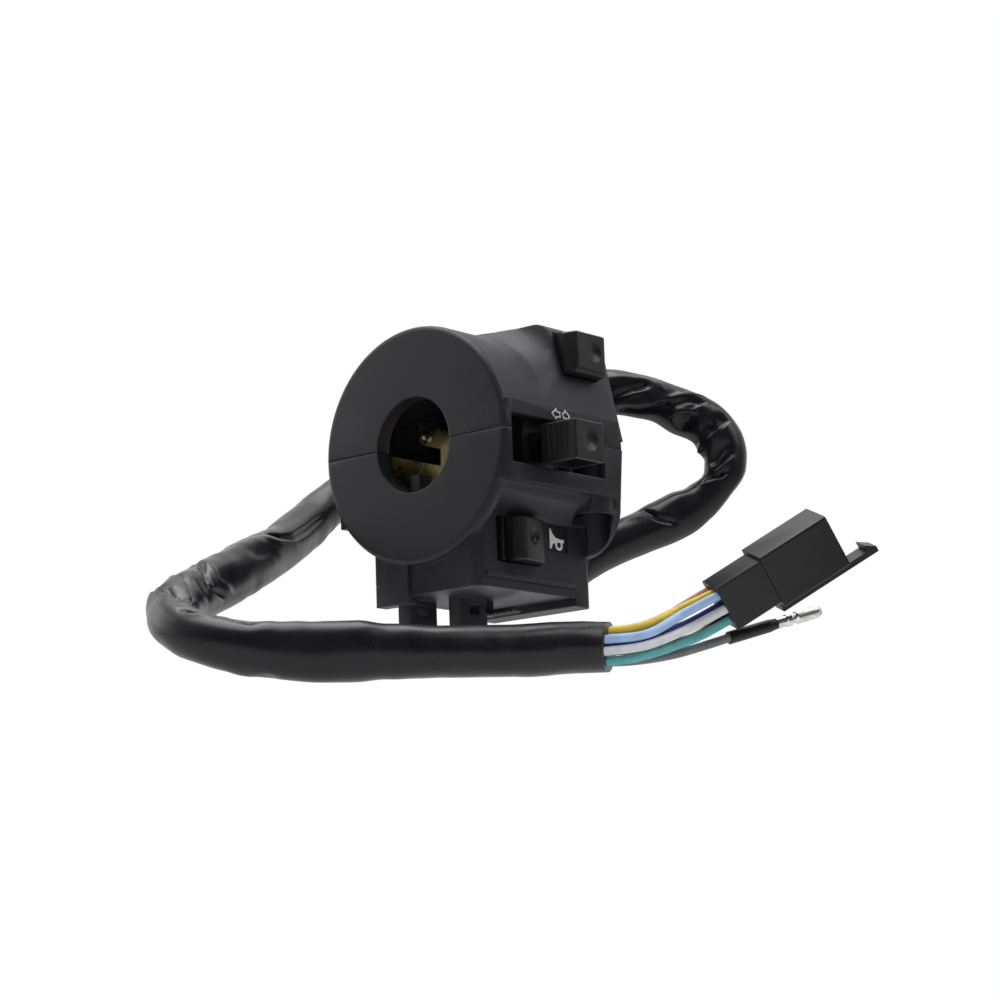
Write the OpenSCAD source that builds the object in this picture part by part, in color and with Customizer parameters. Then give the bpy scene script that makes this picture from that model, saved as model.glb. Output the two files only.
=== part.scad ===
// Handlebar switch cluster: split housing with turn, dip and horn switches and a sleeved harness
// Origin on the handlebar axis at the grip-side face; +Y along the bar, +X to the rider, +Z up

/* [Handlebar clamp] */
// Diameter of the handlebar bore
bar_d = 22.2; // [21:0.1:23]
// Thickness of the wall on the grip side
front_wall = 4; // [3.4:0.1:4.6]
// Thickness of the wall on the far side
rear_wall = 3.4; // [3:0.1:3.8]
// Width of the peg that enters the hole in the bar
peg_w = 2.8; // [2.2:0.1:3.4]
// How far the peg reaches into the bore
peg_reach = 5; // [3:0.1:6]
// Shaft diameter of the clamp screws
screw_d = 5; // [4:0.1:5.4]

/* [Housing] */
// Radius of the round body
body_r = 27.8; // [27.4:0.1:29]
// Length of the housing along the bar
body_len = 42.8; // [42.4:0.1:46]
// Thickness of the shells
shell_wall = 2.4; // [2:0.1:2.6]
// Rounding of the rim on the grip side
rim_round = 1.6; // [1:0.1:2.6]
// Gap that shows between the two halves
part_gap = 0.16; // [0.1:0.02:0.3]
// Height of the hump's top edge above the crown of the round body
hump_rise = 1.1; // [0.4:0.1:1.4]
// Inward lean of the hump's side, per unit of height
hump_lean = 0.22; // [0.18:0.01:0.24]
// Height of the side panel above the parting plane
panel_top = 6.8; // [6:0.1:8]
// Depth of the side panel below the parting plane
panel_drop = 11.7; // [11:0.1:12.4]

/* [Turn switch] */
// Length of the window
turn_window_len = 33.3; // [32:0.1:34]
// Height of the window
turn_window_h = 11.2; // [10.6:0.1:12]
// Start of the window behind the grip-side face
turn_window_start = 2.3; // [2:0.1:3]
// Height of the middle of the window
turn_mid_z = -2.2; // [-2.6:0.1:-2]
// Length of the knob along the bar
knob_len = 10.4; // [9:0.1:11]
// Height of the knob
knob_h = 9.2; // [8:0.1:9.8]
// How far the knob stands out of the panel
knob_reach = 10.2; // [8:0.1:12]
// Place of the knob at rest behind the grip-side face
knob_rest = 17.4; // [17:0.1:17.8]
// Travel of the knob to each side
turn_travel = 7.5; // [6:0.1:7.8]

/* [Dip switch] */
// Length of the window in the hump
dip_window_len = 13.3; // [12.6:0.1:13.6]
// Height of the window in the hump
dip_window_h = 10.5; // [9.8:0.1:10.7]
// Depth of the middle of the window below the crown of the round body
dip_drop = 6.5; // [6.4:0.1:6.8]
// How far the button's face stands out past the round body
dip_proud = 0.6; // [0:0.1:2]
// Travel of the dip button
dip_travel = 2.2; // [1.5:0.1:2.6]

/* [Horn switch] */
// Set-back of the box's button side from the round body
box_inset = 10.8; // [10.2:0.1:11.2]
// Distance of the box's other side from the bar axis
box_left = 13.5; // [13:0.1:14]
// How far the box's floor hangs below the round body
box_drop = 6.6; // [6.2:0.1:8]
// Set-back of the box's front behind the grip-side face
box_front = 2; // [1.6:0.1:2.4]
// Length of the window for the button
horn_window_len = 15.2; // [14.6:0.1:15.6]
// Height of the window for the button
horn_window_h = 10.7; // [10.4:0.1:10.9]
// How far the button stands out of the box
horn_reach = 4; // [3:0.1:4.6]
// Travel of the horn button
horn_travel = 2.2; // [1.5:0.1:2.5]

/* [Bottom cover] */
// Thickness of the cover
cover_t = 2.1; // [1.8:0.1:2.4]
// How far the two lugs hang below the cover
lug_drop = 7; // [6:0.1:9]

/* [Harness] */
// Outside diameter of the sleeve
sleeve_d = 10.8; // [10:0.1:11.4]
// Outside diameter of a wire
wire_d = 1.9; // [1.6:0.1:2]
// Height of the outlet's middle above the box's floor
outlet_rise = 9.4; // [9:0.1:9.8]

/* [Connector] */
// Length of the narrow end, where the wires enter
conn_back_len = 11.4; // [10:0.1:13]
// Length of the wide end, where the mate enters
conn_front_len = 17.3; // [15:0.1:20]
// Width of the wide end
conn_w = 11.5; // [11:0.1:13]
// Height of the wide end
conn_h = 12.7; // [12.4:0.1:14]
// Step from the wide end to the narrow end, on each side
conn_step = 0.95; // [0.5:0.05:1.2]
// Diameter of the bullet terminal
bullet_d = 2.9; // [2.4:0.1:3.2]

/* [Clearances] */
// Running gap between a moving piece and its guide
run_gap = 0.3; // [0.2:0.05:0.4]
// Gap between pieces that are seated together
seat_gap = 0.1; // [0.05:0.05:0.15]

/* [Hidden] */
$fn = 64;
// Small overlap that makes two shapes of one piece merge
weld = 0.5;
// Length that carries a cut clear of what it cuts
past = 60;

// Bore, cavity and end walls
bar_r = bar_d / 2;
cavity_r = body_r - shell_wall;
cavity_y0 = front_wall;
cavity_y1 = body_len - rear_wall;
rear_round = 1;
half_gap = part_gap / 2;

// Side panel and the cove below it
panel_x = body_r + 0.1;
panel_round = 2.6;
panel_y1 = body_len - 1.7;
cove_y0 = front_wall - 1;
shroud_y = body_len - 2.6;
box_side = body_r - box_inset;
box_floor = body_r + box_drop;
cove_top = 10.4 - body_r;
cove_slope = (panel_drop + cove_top) / (box_side - panel_x);
shroud_r = 11.6;
shroud_x = body_r - 13;
shroud_z = 14.8 - body_r;

// Clamp screws: one in the flat side boss, one in the pocket behind the horn box
screw_r = screw_d / 2;
head_r = screw_r + 1.7;
head_h = 3;
boss_r = screw_r + 1.8;
pocket_boss_r = head_r + 1.2;
side_screw = [6.5 - body_r, front_wall + 7];
pocket_screw = [body_r - 6.1, body_len - 5.4];
side_boss_drop = 15.5;
pocket_boss_drop = 15.5;
head_seat = -10.5;
side_boss_x = body_r - 0.2;
screw_tip = 8.5;
boss_top = 10;

// Hump: flat top, leaning side, soft corner, and the flare that lifts it out of the round body
hump_top = body_r + hump_rise;
hump_foot = body_r + 0.5;
hump_corner = 5;
hump_start = body_len - 28.8;
hump_full = hump_start + 10;
hump_flare = [[-0.6, 0], [0.2, 3.5], [1.8, 6.5], [4, 8.6], [8, 10]];

// Saddle under the bar, and its ribs
saddle_t = 1;
saddle_r = bar_r + run_gap;
saddle_y0 = front_wall + 0.8;
peg_x = -4.6;
peg_y1 = front_wall + 4.2;
saddle_y1 = cavity_y1 - 2.6;
rib_t = 2;
rib_ys = [front_wall + 7, cavity_y1 - 8.6];
rib_low = -(saddle_r + saddle_t + 4.1);
rib_top = 0.1 - bar_r;

// Turn switch stack, from the bar outwards
bracket_x = saddle_r + saddle_t + 0.8;
bracket_t = 1;
board_x = bracket_x + bracket_t + seat_gap;
board_t = 1.6;
rail_x = board_x + board_t;
rail_t = 0.5;
wiper_x = rail_x + rail_t + run_gap / 2;
wiper_t = 0.4;
carriage_x = wiper_x + wiper_t + seat_gap / 2;
carriage_x1 = cavity_r - 2.4;
carriage_half = 5.6;
board_y0 = front_wall + 1.2;
board_y1 = pocket_screw[1] - boss_r - 0.6;
shelf_z = turn_mid_z - turn_window_h / 2 - 1.3;
rail_top_z = turn_mid_z + turn_window_h / 2 + 1.6;
knob_neck = [7, 6];
knob_socket = 2;
ball_r = 1.5;
ball_z = rail_top_z - 2.2;
ball_y = knob_rest + 3.4;
rail_zs = [-6.6, -3.4, -0.4];
rail_w = 1.5;

// Dip switch, from the button inwards
dip_mid_y = body_len - 4.6 - dip_window_len / 2;
dip_block_y0 = hump_full + shell_wall + 0.4;
dip_mid_z = body_r - dip_drop;
dip_face = body_r + dip_proud;
dip_flange_x = body_r - 10.4;
dip_flange_t = 1.5;
dip_head = 3.2;
dip_block_x1 = dip_flange_x - 5.9;
dip_block_x = dip_block_x1 - 5;
dip_stem_r = 2;
dip_bridge_x = dip_block_x + 0.9;
dip_block_top = body_r - shell_wall + seat_gap;

// Horn switch, from the button inwards
box_x = box_side - shell_wall;
box_y0 = box_front + shell_wall;
cover_z = -box_floor;
cover_top = cover_z + cover_t;
cover_y1 = body_len - 6.7;
horn_y0 = box_front + 6.6;
horn_mid_z = 4.9 - body_r;
horn_z0 = horn_mid_z - horn_window_h / 2;
horn_len = 10.4;
horn_btn_y = horn_y0 + 3.4;
horn_flange_t = 1.7;
horn_flange_x = box_x - run_gap - horn_flange_t;
horn_base_x = 5.4;
horn_base_t = 1.6;
horn_spring_y = horn_btn_y + 3;
plate_len = 7.7;
plate_h = 6.2;
plate_t = 1.4;
plate_y0 = horn_y0 + horn_window_len + 2.4;
plate_z1 = horn_mid_z + horn_window_h / 2 - 0.2;
foot_drop = 1.8;
pad_x1 = -3.7;
ledge_z = cover_top + 1.4;
lug_size = [4.1, 8.7];
lug_places = [[-10.2, 4.8], [-1, 12]];
lug_eye = [3.5, 2.2];
strap_place = [0.6, 21.6];
strap_w = 3;
strap_t = 1.2;
strap_len = 9.6;

// Cable outlet in the rear wall
outlet_x = pocket_screw[0] - pocket_boss_r - sleeve_d / 2 - 2.9;
outlet_drop = box_floor - outlet_rise;
outlet_r = sleeve_d / 2 + 0.4;
grommet_flange = 1.5;
grommet_r = outlet_r + 1.6;
clip_y = cavity_y1 - 7;
clip_w = 4;
clip_r = 3.8;
clip_t = 1;

// Harness route, point by point from the outlet to the open end of the sleeve
sleeve_route = [
  [outlet_x, body_len + grommet_flange, -outlet_drop], [outlet_x, body_len + 3, -outlet_drop],
  [9.3, 49.6, -22.8], [11.1, 53.8, -20.5], [13.5, 58, -18.4], [16.3, 62.4, -16.3], [19.1, 66.5, -14.4],
  [21.9, 70.3, -12.3], [24.8, 74, -9.7], [27.4, 77.1, -6.4], [29.3, 79.3, -2.7], [30.1, 80.4, 1.8],
  [29.4, 80.3, 6.3], [27.2, 78.9, 10.4], [23.8, 76.5, 13.7], [20.1, 73.8, 16.2], [16.3, 71.1, 18.4],
  [12.3, 68.3, 19.8], [8, 65.4, 20.7], [3.6, 62.5, 21.2], [-0.9, 59.7, 21.6], [-5.4, 57, 21.8],
  [-10, 54.7, 21.6], [-14.6, 52.8, 20.8], [-19.3, 51.2, 19.4], [-24.1, 49.8, 17.6], [-29, 48.3, 15.5],
  [-39, 38.8, 8], [-44, 28, 0], [-45, 18, -6.5], [-42, 5, -13.5], [-37, -8, -19.5], [-31, -22, -25.5],
  [-25, -36, -32], [-19.6, -49.6, -37.4], [-13.3, -61.2, -42.3], [-5.8, -69.6, -46.6], [3.4, -71.6, -50.4],
  [13.2, -66.8, -53.4], [22, -58, -55], [30, -47, -55], [38, -35, -55], [46, -20, -54.5], [50, -11, -53.5],
  [54, -2, -53]
];

// Wires, each from the sleeve's open end to its place in the connector or the bullet's boot
yellow_route = [[54, -1.9, -49.7], [58.3, 7, -49], [60.3, 18, -45], [65.6, 23.4, -40.5]];
light_blue_route = [[56.2, -2.9, -51.6], [60.5, 6, -50.9], [62.5, 16.5, -46], [67.9, 21.8, -41.5]];
white_route = [[56.2, -2.7, -54.3], [60.5, 6, -53.6], [63, 18.5, -48.8], [68.3, 23.8, -44.3]];
teal_route = [[54.5, -1.8, -56.4], [58.8, 6.7, -55.7], [62, 21.3, -50.8], [67.3, 26.6, -46.3]];
dark_blue_route = [[54, -1.8, -53], [58.3, 7, -52.3], [60.7, 19.9, -47.7], [66.1, 25.2, -43.2]];
brown_route = [[51.9, -0.9, -51.1], [56.2, 8, -50.4], [58, 19.5, -44.1], [63.4, 24.8, -39.6]];
black_route = [[51.5, -0.7, -53.5], [55.8, 8.2, -52.8], [59.3, 23.1, -49.7], [64.6, 28.4, -45.2]];
grey_route = [
  [52.4, -0.9, -56], [55.5, 7.8, -55.9], [58.5, 17, -54.3], [61.7, 24.5, -51.8], [64.4, 30.1, -49.6]
];

// Connector and bullet: where their wire ends lie and how they are turned
conn_place = [66, 25.5, -43];
conn_turn = [23, -31, 44];
port_rows = 4;
port_cols = 2;
port = [3.4, 1.7];
port_depth = 13;
bullet_place = [64.5, 30.2, -49.6];
bullet_turn = [0, 74, 66];
boot_len = 12.8;
boot_r = 1.45;
bullet_len = 12;

// Shared shapes

// A box between two corners
module block(low, high) translate(low) cube(high - low);

// An outline in X and Z, carried along Y
module slab_y(y0, y1) translate([0, y1, 0]) rotate([90, 0, 0]) linear_extrude(y1 - y0) children();

// An outline in Y and Z, carried along X
module slab_x(x0, x1) translate([x0, 0, 0]) rotate([90, 0, 90]) linear_extrude(x1 - x0) children();

// A round rod along Y or X between two places
module rod_y(r, y0, y1) translate([0, y0, 0]) rotate([-90, 0, 0]) cylinder(r = r, h = y1 - y0);
module rod_x(r, x0, x1) translate([x0, 0, 0]) rotate([0, 90, 0]) cylinder(r = r, h = x1 - x0);

// A rectangle with round corners
module round_rect(size, r) {
  translate([r, 0]) square([size[0] - 2 * r, size[1]]);
  translate([0, r]) square([size[0], size[1] - 2 * r]);
  for (x = [r, size[0] - r], y = [r, size[1] - r]) translate([x, y]) circle(r);
}

function unit(v) = v / norm(v);

// Directions along a route, and a side direction carried along it without twist
function headings(route) = [for (i = [0:len(route) - 1])
  unit(route[min(i + 1, len(route) - 1)] - route[max(i - 1, 0)])];
function carried(dirs, side, i = 0) = i == len(dirs) ? []
  : let (s = unit(side - (side * dirs[i]) * dirs[i])) concat([s], carried(dirs, s, i + 1));

// Points of a smooth curve through a short route, steps to each span
function through(p, steps) = let (n = len(p)) concat([for (i = [0:n - 2], k = [0:steps - 1])
  let (t = k / steps, a = p[max(i - 1, 0)], b = p[i], c = p[i + 1], d = p[min(i + 2, n - 1)])
  ((2 * b) + (c - a) * t + (2 * a - 5 * b + 4 * c - d) * t * t + (3 * b - a - 3 * c + d) * t * t * t) / 2],
  [p[n - 1]]);

// A tube swept along a route as one closed skin of triangles
module tube(route, d, sides) {
  n = len(route);
  dirs = headings(route);
  side = carried(dirs, abs(dirs[0][2]) < 0.9 ? [0, 0, 1] : [1, 0, 0]);
  points = [for (i = [0:n - 1], k = [0:sides - 1])
    let (a = 360 * k / sides) route[i] + d / 2 * (cos(a) * side[i] + sin(a) * cross(dirs[i], side[i]))];
  walls = [for (i = [0:n - 2], k = [0:sides - 1]) let (m = (k + 1) % sides, p = i * sides)
    each [[p + k, p + sides + k, p + sides + m], [p + k, p + sides + m, p + m]]];
  first = [for (k = [1:sides - 2]) [0, k, k + 1]];
  last = [for (k = [1:sides - 2]) let (p = (n - 1) * sides) [p, p + k + 1, p + k]];
  polyhedron(points, concat(walls, first, last));
}

// A coil spring along X, with its ends square to its seats
module coil_x(r, wire, length, turns) {
  steps = 8;
  lift = length - wire;
  route = [for (i = [0:turns * steps]) let (a = 360 * i / steps)
    [wire / 2 + lift * i / (turns * steps), r * cos(a), r * sin(a)]];
  tube(route, wire, 6);
}

// Housing

// Round body with both rims rounded
module round_body() rotate([-90, 0, 0]) rotate_extrude($fn = 96) {
  square([body_r - rim_round, body_len]);
  translate([0, rim_round]) square([body_r, body_len - rim_round - rear_round]);
  translate([0, rim_round]) square([body_r - rear_round, body_len - rim_round]);
  translate([body_r - rim_round, rim_round]) circle(rim_round);
  translate([body_r - rear_round, body_len - rear_round]) circle(rear_round);
}

// Flat side panel around the turn window, with its front edge rounded
module side_panel() translate([0, 0, -panel_drop]) linear_extrude(panel_drop + panel_top) {
  translate([body_r / 2, 0.2]) square([panel_x - panel_round - body_r / 2, panel_y1 - 0.2]);
  translate([body_r / 2, panel_round + 0.2]) square([panel_x - body_r / 2, panel_y1 - panel_round - 0.2]);
  translate([panel_x - panel_round, panel_round + 0.2]) circle(panel_round);
}

// Outline of the hump, drawn in by the wall that is left around a hollow one
module hump_outline(inset) {
  lean = norm([1, hump_lean]);
  top = hump_top - inset;
  foot = hump_foot - inset * lean;
  r = hump_corner - inset;
  mid = [foot - hump_lean * (top - r) - r * lean, top - r];
  polygon([[2, 2], [foot - hump_lean * 2, 2], [mid[0] + r / lean, mid[1] + r * hump_lean / lean], mid]);
  // The top runs from that corner to where it meets the round body without a step
  edge = [mid[0], top];
  round_r = body_r - inset;
  meet = atan2(edge[1], edge[0]) + acos(round_r / norm(edge));
  polygon([[2, 2], mid, edge, round_r * [cos(meet), sin(meet)]]);
  translate(mid) circle(r);
}

// Hump between its flared front and a rear end
module hump(inset, y_end) intersection() {
  slab_y(hump_start, y_end) hump_outline(inset);
  rotate([-90, 0, 0]) rotate_extrude($fn = 96) polygon(concat(
    [for (f = hump_flare) [body_r - inset + f[0], hump_start + inset + f[1]]],
    [[body_r - inset + 8, y_end], [2, y_end], [2, hump_start + inset]]));
}

// Window of the turn knob, cut through the panel alone
module turn_window() block(
  [cavity_r - 4, turn_window_start, turn_mid_z - turn_window_h / 2],
  [panel_x + past, turn_window_start + turn_window_len, turn_mid_z + turn_window_h / 2]);

// Holes for the two clamp screws
module screw_shafts() for (p = [side_screw, pocket_screw])
  translate([p[0], p[1], -past]) cylinder(r = screw_r + seat_gap, h = past + screw_tip + 1);

module upper_shell() color([0.16, 0.16, 0.17]) difference() {
  union() {
    difference() {
      intersection() {
        union() {
          round_body();
          side_panel();
          hump(0, body_len);
        }
        block([-past, -past, half_gap], [past, past, past]);
      }
      rod_y(cavity_r, cavity_y0, cavity_y1);
      hump(shell_wall, cavity_y1);
      turn_window();
      block([dip_flange_x - dip_travel - run_gap, dip_mid_y - dip_window_len / 2, dip_mid_z - dip_window_h / 2],
        [past, dip_mid_y + dip_window_len / 2, dip_mid_z + dip_window_h / 2]);
    }
    for (p = [side_screw, pocket_screw])
      translate([p[0], p[1], half_gap]) cylinder(r = boss_r, h = boss_top - half_gap);
    slab_y(board_y0, board_y1) polygon([[bracket_x, rail_top_z + seat_gap], [cavity_r - 0.6, rail_top_z + seat_gap],
      [cavity_r - 0.6, rail_top_z + 2.4], [bracket_x, rail_top_z + 2.4]]);
  }
  rod_y(bar_r, -past, body_len + past);
  screw_shafts();
}

// Outline of the rear wall where it hangs out past the round body
module shroud_outline() {
  translate([shroud_x, shroud_z]) circle(shroud_r);
  polygon([[0, 0], [body_r - 0.3, 0], [shroud_x + shroud_r, shroud_z], [0, shroud_z]]);
  polygon([[0, 0], [shroud_x, shroud_z], [shroud_x, shroud_z - shroud_r], [0, shroud_z - shroud_r]]);
}

// Horn box: rounded front edge on the button side, a pad at the front and a foot along the rear
module horn_box() {
  edge = 2.3;
  translate([0, 0, cover_z]) linear_extrude(box_floor - 10) {
    translate([-box_left, box_front]) square([box_left + box_side - edge, body_len - box_front]);
    translate([0, box_front + edge]) square([box_side, body_len - box_front - 2 * edge]);
    translate([box_side - edge, box_front + edge]) circle(edge);
    translate([box_side - edge, body_len - edge]) circle(edge);
  }
  block([-box_left, box_front - 1, cover_z - foot_drop], [pad_x1, box_y0, cover_z + 14]);
  translate([0, 0, cover_z - foot_drop]) linear_extrude(foot_drop + weld) {
    translate([-box_left, cover_y1 + seat_gap]) square([box_left + box_side - edge, body_len - cover_y1 - seat_gap]);
    translate([0, cover_y1 + seat_gap]) square([box_side, body_len - cover_y1 - seat_gap - edge]);
    translate([box_side - edge, body_len - edge]) circle(edge);
  }
  block([0, box_front + edge, ledge_z - 0.9], [box_side + 0.6, cover_y1, ledge_z]);
}

// Round part of the cavity, kept above the roof of the cove
module lower_cavity() slab_y(cavity_y0, cavity_y1) difference() {
  circle(cavity_r, $fn = 96);
  roof = cove_top + shell_wall + 0.1;
  polygon([[box_x, roof + cove_slope * (box_x - box_side)], [past, roof + cove_slope * (past - box_side)],
    [past, -past], [box_x, -past]]);
}

module lower_shell() color([0.15, 0.15, 0.16]) difference() {
  union() {
    difference() {
      intersection() {
        union() {
          difference() {
            union() {
              round_body();
              side_panel();
            }
            // Cove between the panel's lower lip and the horn box
            slab_y(cove_y0, shroud_y) polygon([[box_side, cove_top], [panel_x, -panel_drop],
              [past, -panel_drop], [past, -past], [box_side, -past]]);
          }
          slab_y(shroud_y, body_len) shroud_outline();
          horn_box();
          // Flat boss of the side screw
          block([-side_boss_x, front_wall + 0.6, -side_boss_drop], [-body_r / 2, side_screw[1] + 6.6, 0]);
          translate([pocket_screw[0], pocket_screw[1], -pocket_boss_drop])
            cylinder(r = pocket_boss_r, h = pocket_boss_drop - panel_drop + weld);
        }
        block([-past, -past, -past], [past, past, -half_gap]);
      }
      lower_cavity();
      block([-box_left + shell_wall, box_y0, cover_top + seat_gap], [box_x, cavity_y1, -12]);
      turn_window();
      // Floor is left open for the bottom cover
      block([-box_left + shell_wall, box_y0, -past], [past, cover_y1 + seat_gap, cover_top + seat_gap]);
      // Window of the horn button, and the shallow recess of its sign plate
      block([box_x - weld, horn_y0, horn_z0], [past, horn_y0 + horn_window_len, horn_z0 + horn_window_h]);
      block([box_side - plate_t, plate_y0, plate_z1 - plate_h], [past, plate_y0 + plate_len, plate_z1]);
      translate([outlet_x, 0, -outlet_drop]) rod_y(outlet_r, cavity_y1 - 1, body_len + 1);
    }
    // Screw bosses inside the cavity
    translate([pocket_screw[0], pocket_screw[1], -panel_drop]) cylinder(r = boss_r, h = panel_drop - half_gap);
    block([-cavity_r + 1.6, front_wall - weld, -side_boss_drop], [side_screw[0] + boss_r + 1, side_screw[1] + 5.2, -half_gap]);
    // Shelf under the turn board, and ribs under the saddle
    slab_y(board_y0, board_y1) polygon([[bracket_x, shelf_z], [cavity_r - 0.8, shelf_z],
      [cavity_r - 0.8, shelf_z - 2], [box_x, cove_top + 1.2], [bracket_x, cove_top + 1.2]]);
    for (y = rib_ys) block([-cavity_r + 3.6, y, rib_low], [box_x, y + rib_t, rib_top]);
  }
  rod_y(bar_r, -past, body_len + past);
  rod_y(saddle_r + saddle_t + seat_gap, cavity_y0, cavity_y1);
  screw_shafts();
  for (p = [side_screw, pocket_screw])
    translate([p[0], p[1], -past]) cylinder(r = head_r + run_gap, h = past + head_seat);
}

// Locating peg: it stands on the back of the front wall and reaches into the bore
module locating_peg() {
  top = -bar_r + peg_reach;
  block([peg_x, front_wall - weld, -bar_r - 3], [peg_x + peg_w, peg_y1, -bar_r - weld]);
  block([peg_x, front_wall + seat_gap, -bar_r - 3], [peg_x + peg_w, peg_y1, top]);
}

// Outlines of the parts that move or seat inside

module bottom_cover() color([0.14, 0.14, 0.15]) difference() {
  union() {
    difference() {
      block([-box_left + shell_wall + seat_gap, box_y0 + seat_gap, cover_z], [box_side, cover_y1, cover_top]);
      block([-past, -past, -past], [pad_x1 + seat_gap, box_y0 + seat_gap, past]);
    }
    for (p = lug_places)
      block([p[0], p[1], cover_z - lug_drop], [p[0] + lug_size[0], p[1] + lug_size[1], cover_z + weld]);
  }
  for (p = lug_places)
    block([p[0] - 1, p[1] + lug_size[1] / 2 - lug_eye[0] / 2, cover_z - 1.6 - lug_eye[1]],
      [p[0] + lug_size[0] + 1, p[1] + lug_size[1] / 2 + lug_eye[0] / 2, cover_z - 1.6]);
  block([strap_place[0] - seat_gap, strap_place[1] - seat_gap, -past],
    [strap_place[0] + strap_t + seat_gap, strap_place[1] + strap_w + seat_gap, past]);
  translate([outlet_x - clip_r - 3.4, clip_y + clip_w / 2, cover_z + 0.4]) cylinder(r = 1.25, h = past);
}

module clamp_screws() color([0.62, 0.6, 0.5]) for (p = [side_screw, pocket_screw])
  translate([p[0], p[1], head_seat]) difference() {
    union() {
      translate([0, 0, -head_h]) cylinder(r = head_r, h = head_h);
      cylinder(r = screw_r, h = screw_tip - head_seat);
    }
    for (turn = [0, 90]) rotate([0, 0, turn])
      block([-2.6, -0.6, -head_h - 1], [2.6, 0.6, -head_h + 1.6]);
  }

module bar_saddle() color([0.72, 0.64, 0.28]) difference() {
  rod_y(saddle_r + saddle_t, saddle_y0, saddle_y1);
  rod_y(saddle_r, saddle_y0 - 1, saddle_y1 + 1);
  block([-past, -past, -run_gap], [past, past, past]);
  // Notch round the locating peg
  block([peg_x - run_gap, 0, -past], [peg_x + peg_w + run_gap, peg_y1 + run_gap, 0]);
}

// Bent earth tab beside the saddle, with the rivet's hole
tab_x = -(saddle_r + saddle_t + seat_gap);
tab_y = side_screw[1] + 7.6;
rivet_z = 6.4;
tab_t = 1;
tab_len = 10;
tab_top = 9;
module earth_tab() color([0.75, 0.66, 0.26]) difference() {
  union() {
    block([tab_x - tab_t, tab_y - 2.4, rivet_z - 2.2], [tab_x, tab_y + tab_len, tab_top]);
    block([tab_x - tab_t, tab_y + tab_len - 4.8, -4], [tab_x, tab_y + tab_len, rivet_z]);
    block([tab_x - 4.4, tab_y + 4, tab_top - tab_t], [tab_x, tab_y + tab_len, tab_top]);
  }
  translate([0, tab_y, rivet_z]) rod_x(1, tab_x - 3, tab_x + 3);
}

module earth_rivet() color([0.8, 0.76, 0.6]) translate([tab_x - 1.4, tab_y, rivet_z]) rotate([0, 90, 0])
  rotate_extrude() polygon([[0, 0], [1 - seat_gap, 0], [1 - seat_gap, 1.4 + seat_gap], [1.8, 1.4 + seat_gap],
    [1.7, 1.8], [1.3, 2.3], [0.7, 2.6], [0, 2.7]]);

// Turn switch

module turn_knob() color([0.17, 0.17, 0.18]) {
  face = panel_x + knob_reach;
  back = panel_x + run_gap;
  ribs = 4;
  rib_pitch = 1.7;
  y0 = knob_rest - knob_len / 2;
  z0 = turn_mid_z - 0.5 - knob_h / 2;
  difference() {
    union() {
      slab_x(back, face) translate([y0, z0]) round_rect([knob_len, knob_h], 0.5);
      for (i = [0:ribs - 1]) translate([back + 2 + i * rib_pitch, y0 + 0.1, z0 + 0.9])
        cylinder(r = 0.45, h = knob_h - 1.8);
      block([carriage_x1 - knob_socket + seat_gap, knob_rest - knob_neck[0] / 2, turn_mid_z - knob_neck[1] / 2],
        [back + weld, knob_rest + knob_neck[0] / 2, turn_mid_z + knob_neck[1] / 2]);
    }
    translate([face + 6.2, knob_rest + 0.2, z0 + knob_h / 2]) sphere(r = 6.8);
  }
}

module turn_carriage() color([0.13, 0.13, 0.14]) difference() {
  block([carriage_x, knob_rest - carriage_half, shelf_z + run_gap],
    [carriage_x1, knob_rest + carriage_half, rail_top_z - run_gap]);
  block([carriage_x1 - knob_socket, knob_rest - knob_neck[0] / 2 - seat_gap, turn_mid_z - knob_neck[1] / 2 - seat_gap],
    [past, knob_rest + knob_neck[0] / 2 + seat_gap, turn_mid_z + knob_neck[1] / 2 + seat_gap]);
  translate([0, ball_y, ball_z]) rod_x(ball_r + seat_gap, carriage_x - 1, carriage_x1 - 0.8);
}

module turn_wiper() color([0.78, 0.55, 0.3])
  block([wiper_x, knob_rest - 5, rail_zs[0] - 0.4], [wiper_x + wiper_t, knob_rest + 5, rail_zs[2] + rail_w - 0.4]);

module turn_detent_ball() color([0.8, 0.8, 0.82])
  translate([rail_x + seat_gap + ball_r, ball_y, ball_z]) sphere(r = ball_r);

module turn_detent_spring() color([0.7, 0.7, 0.72])
  translate([rail_x + 2 * seat_gap + 2 * ball_r, ball_y, ball_z])
    coil_x(0.9, 0.4, carriage_x1 - 0.8 - rail_x - 3 * seat_gap - 2 * ball_r, 5);

module turn_board() color([0.45, 0.3, 0.14]) difference() {
  block([board_x, board_y0, shelf_z + seat_gap], [rail_x, board_y1, rail_top_z]);
  for (i = [-1:1]) translate([rail_x + ball_r + seat_gap, ball_y + i * turn_travel, ball_z]) sphere(r = ball_r + 0.4);
}

module turn_rails() color([0.8, 0.65, 0.3]) for (z = rail_zs)
  block([rail_x, board_y0 + 0.8, z], [rail_x + rail_t, board_y1 - 0.8, z + rail_w]);

module turn_bracket() color([0.75, 0.66, 0.26])
  block([bracket_x, board_y0, shelf_z + seat_gap], [bracket_x + bracket_t, board_y1, rail_top_z]);

// Dip switch

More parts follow.
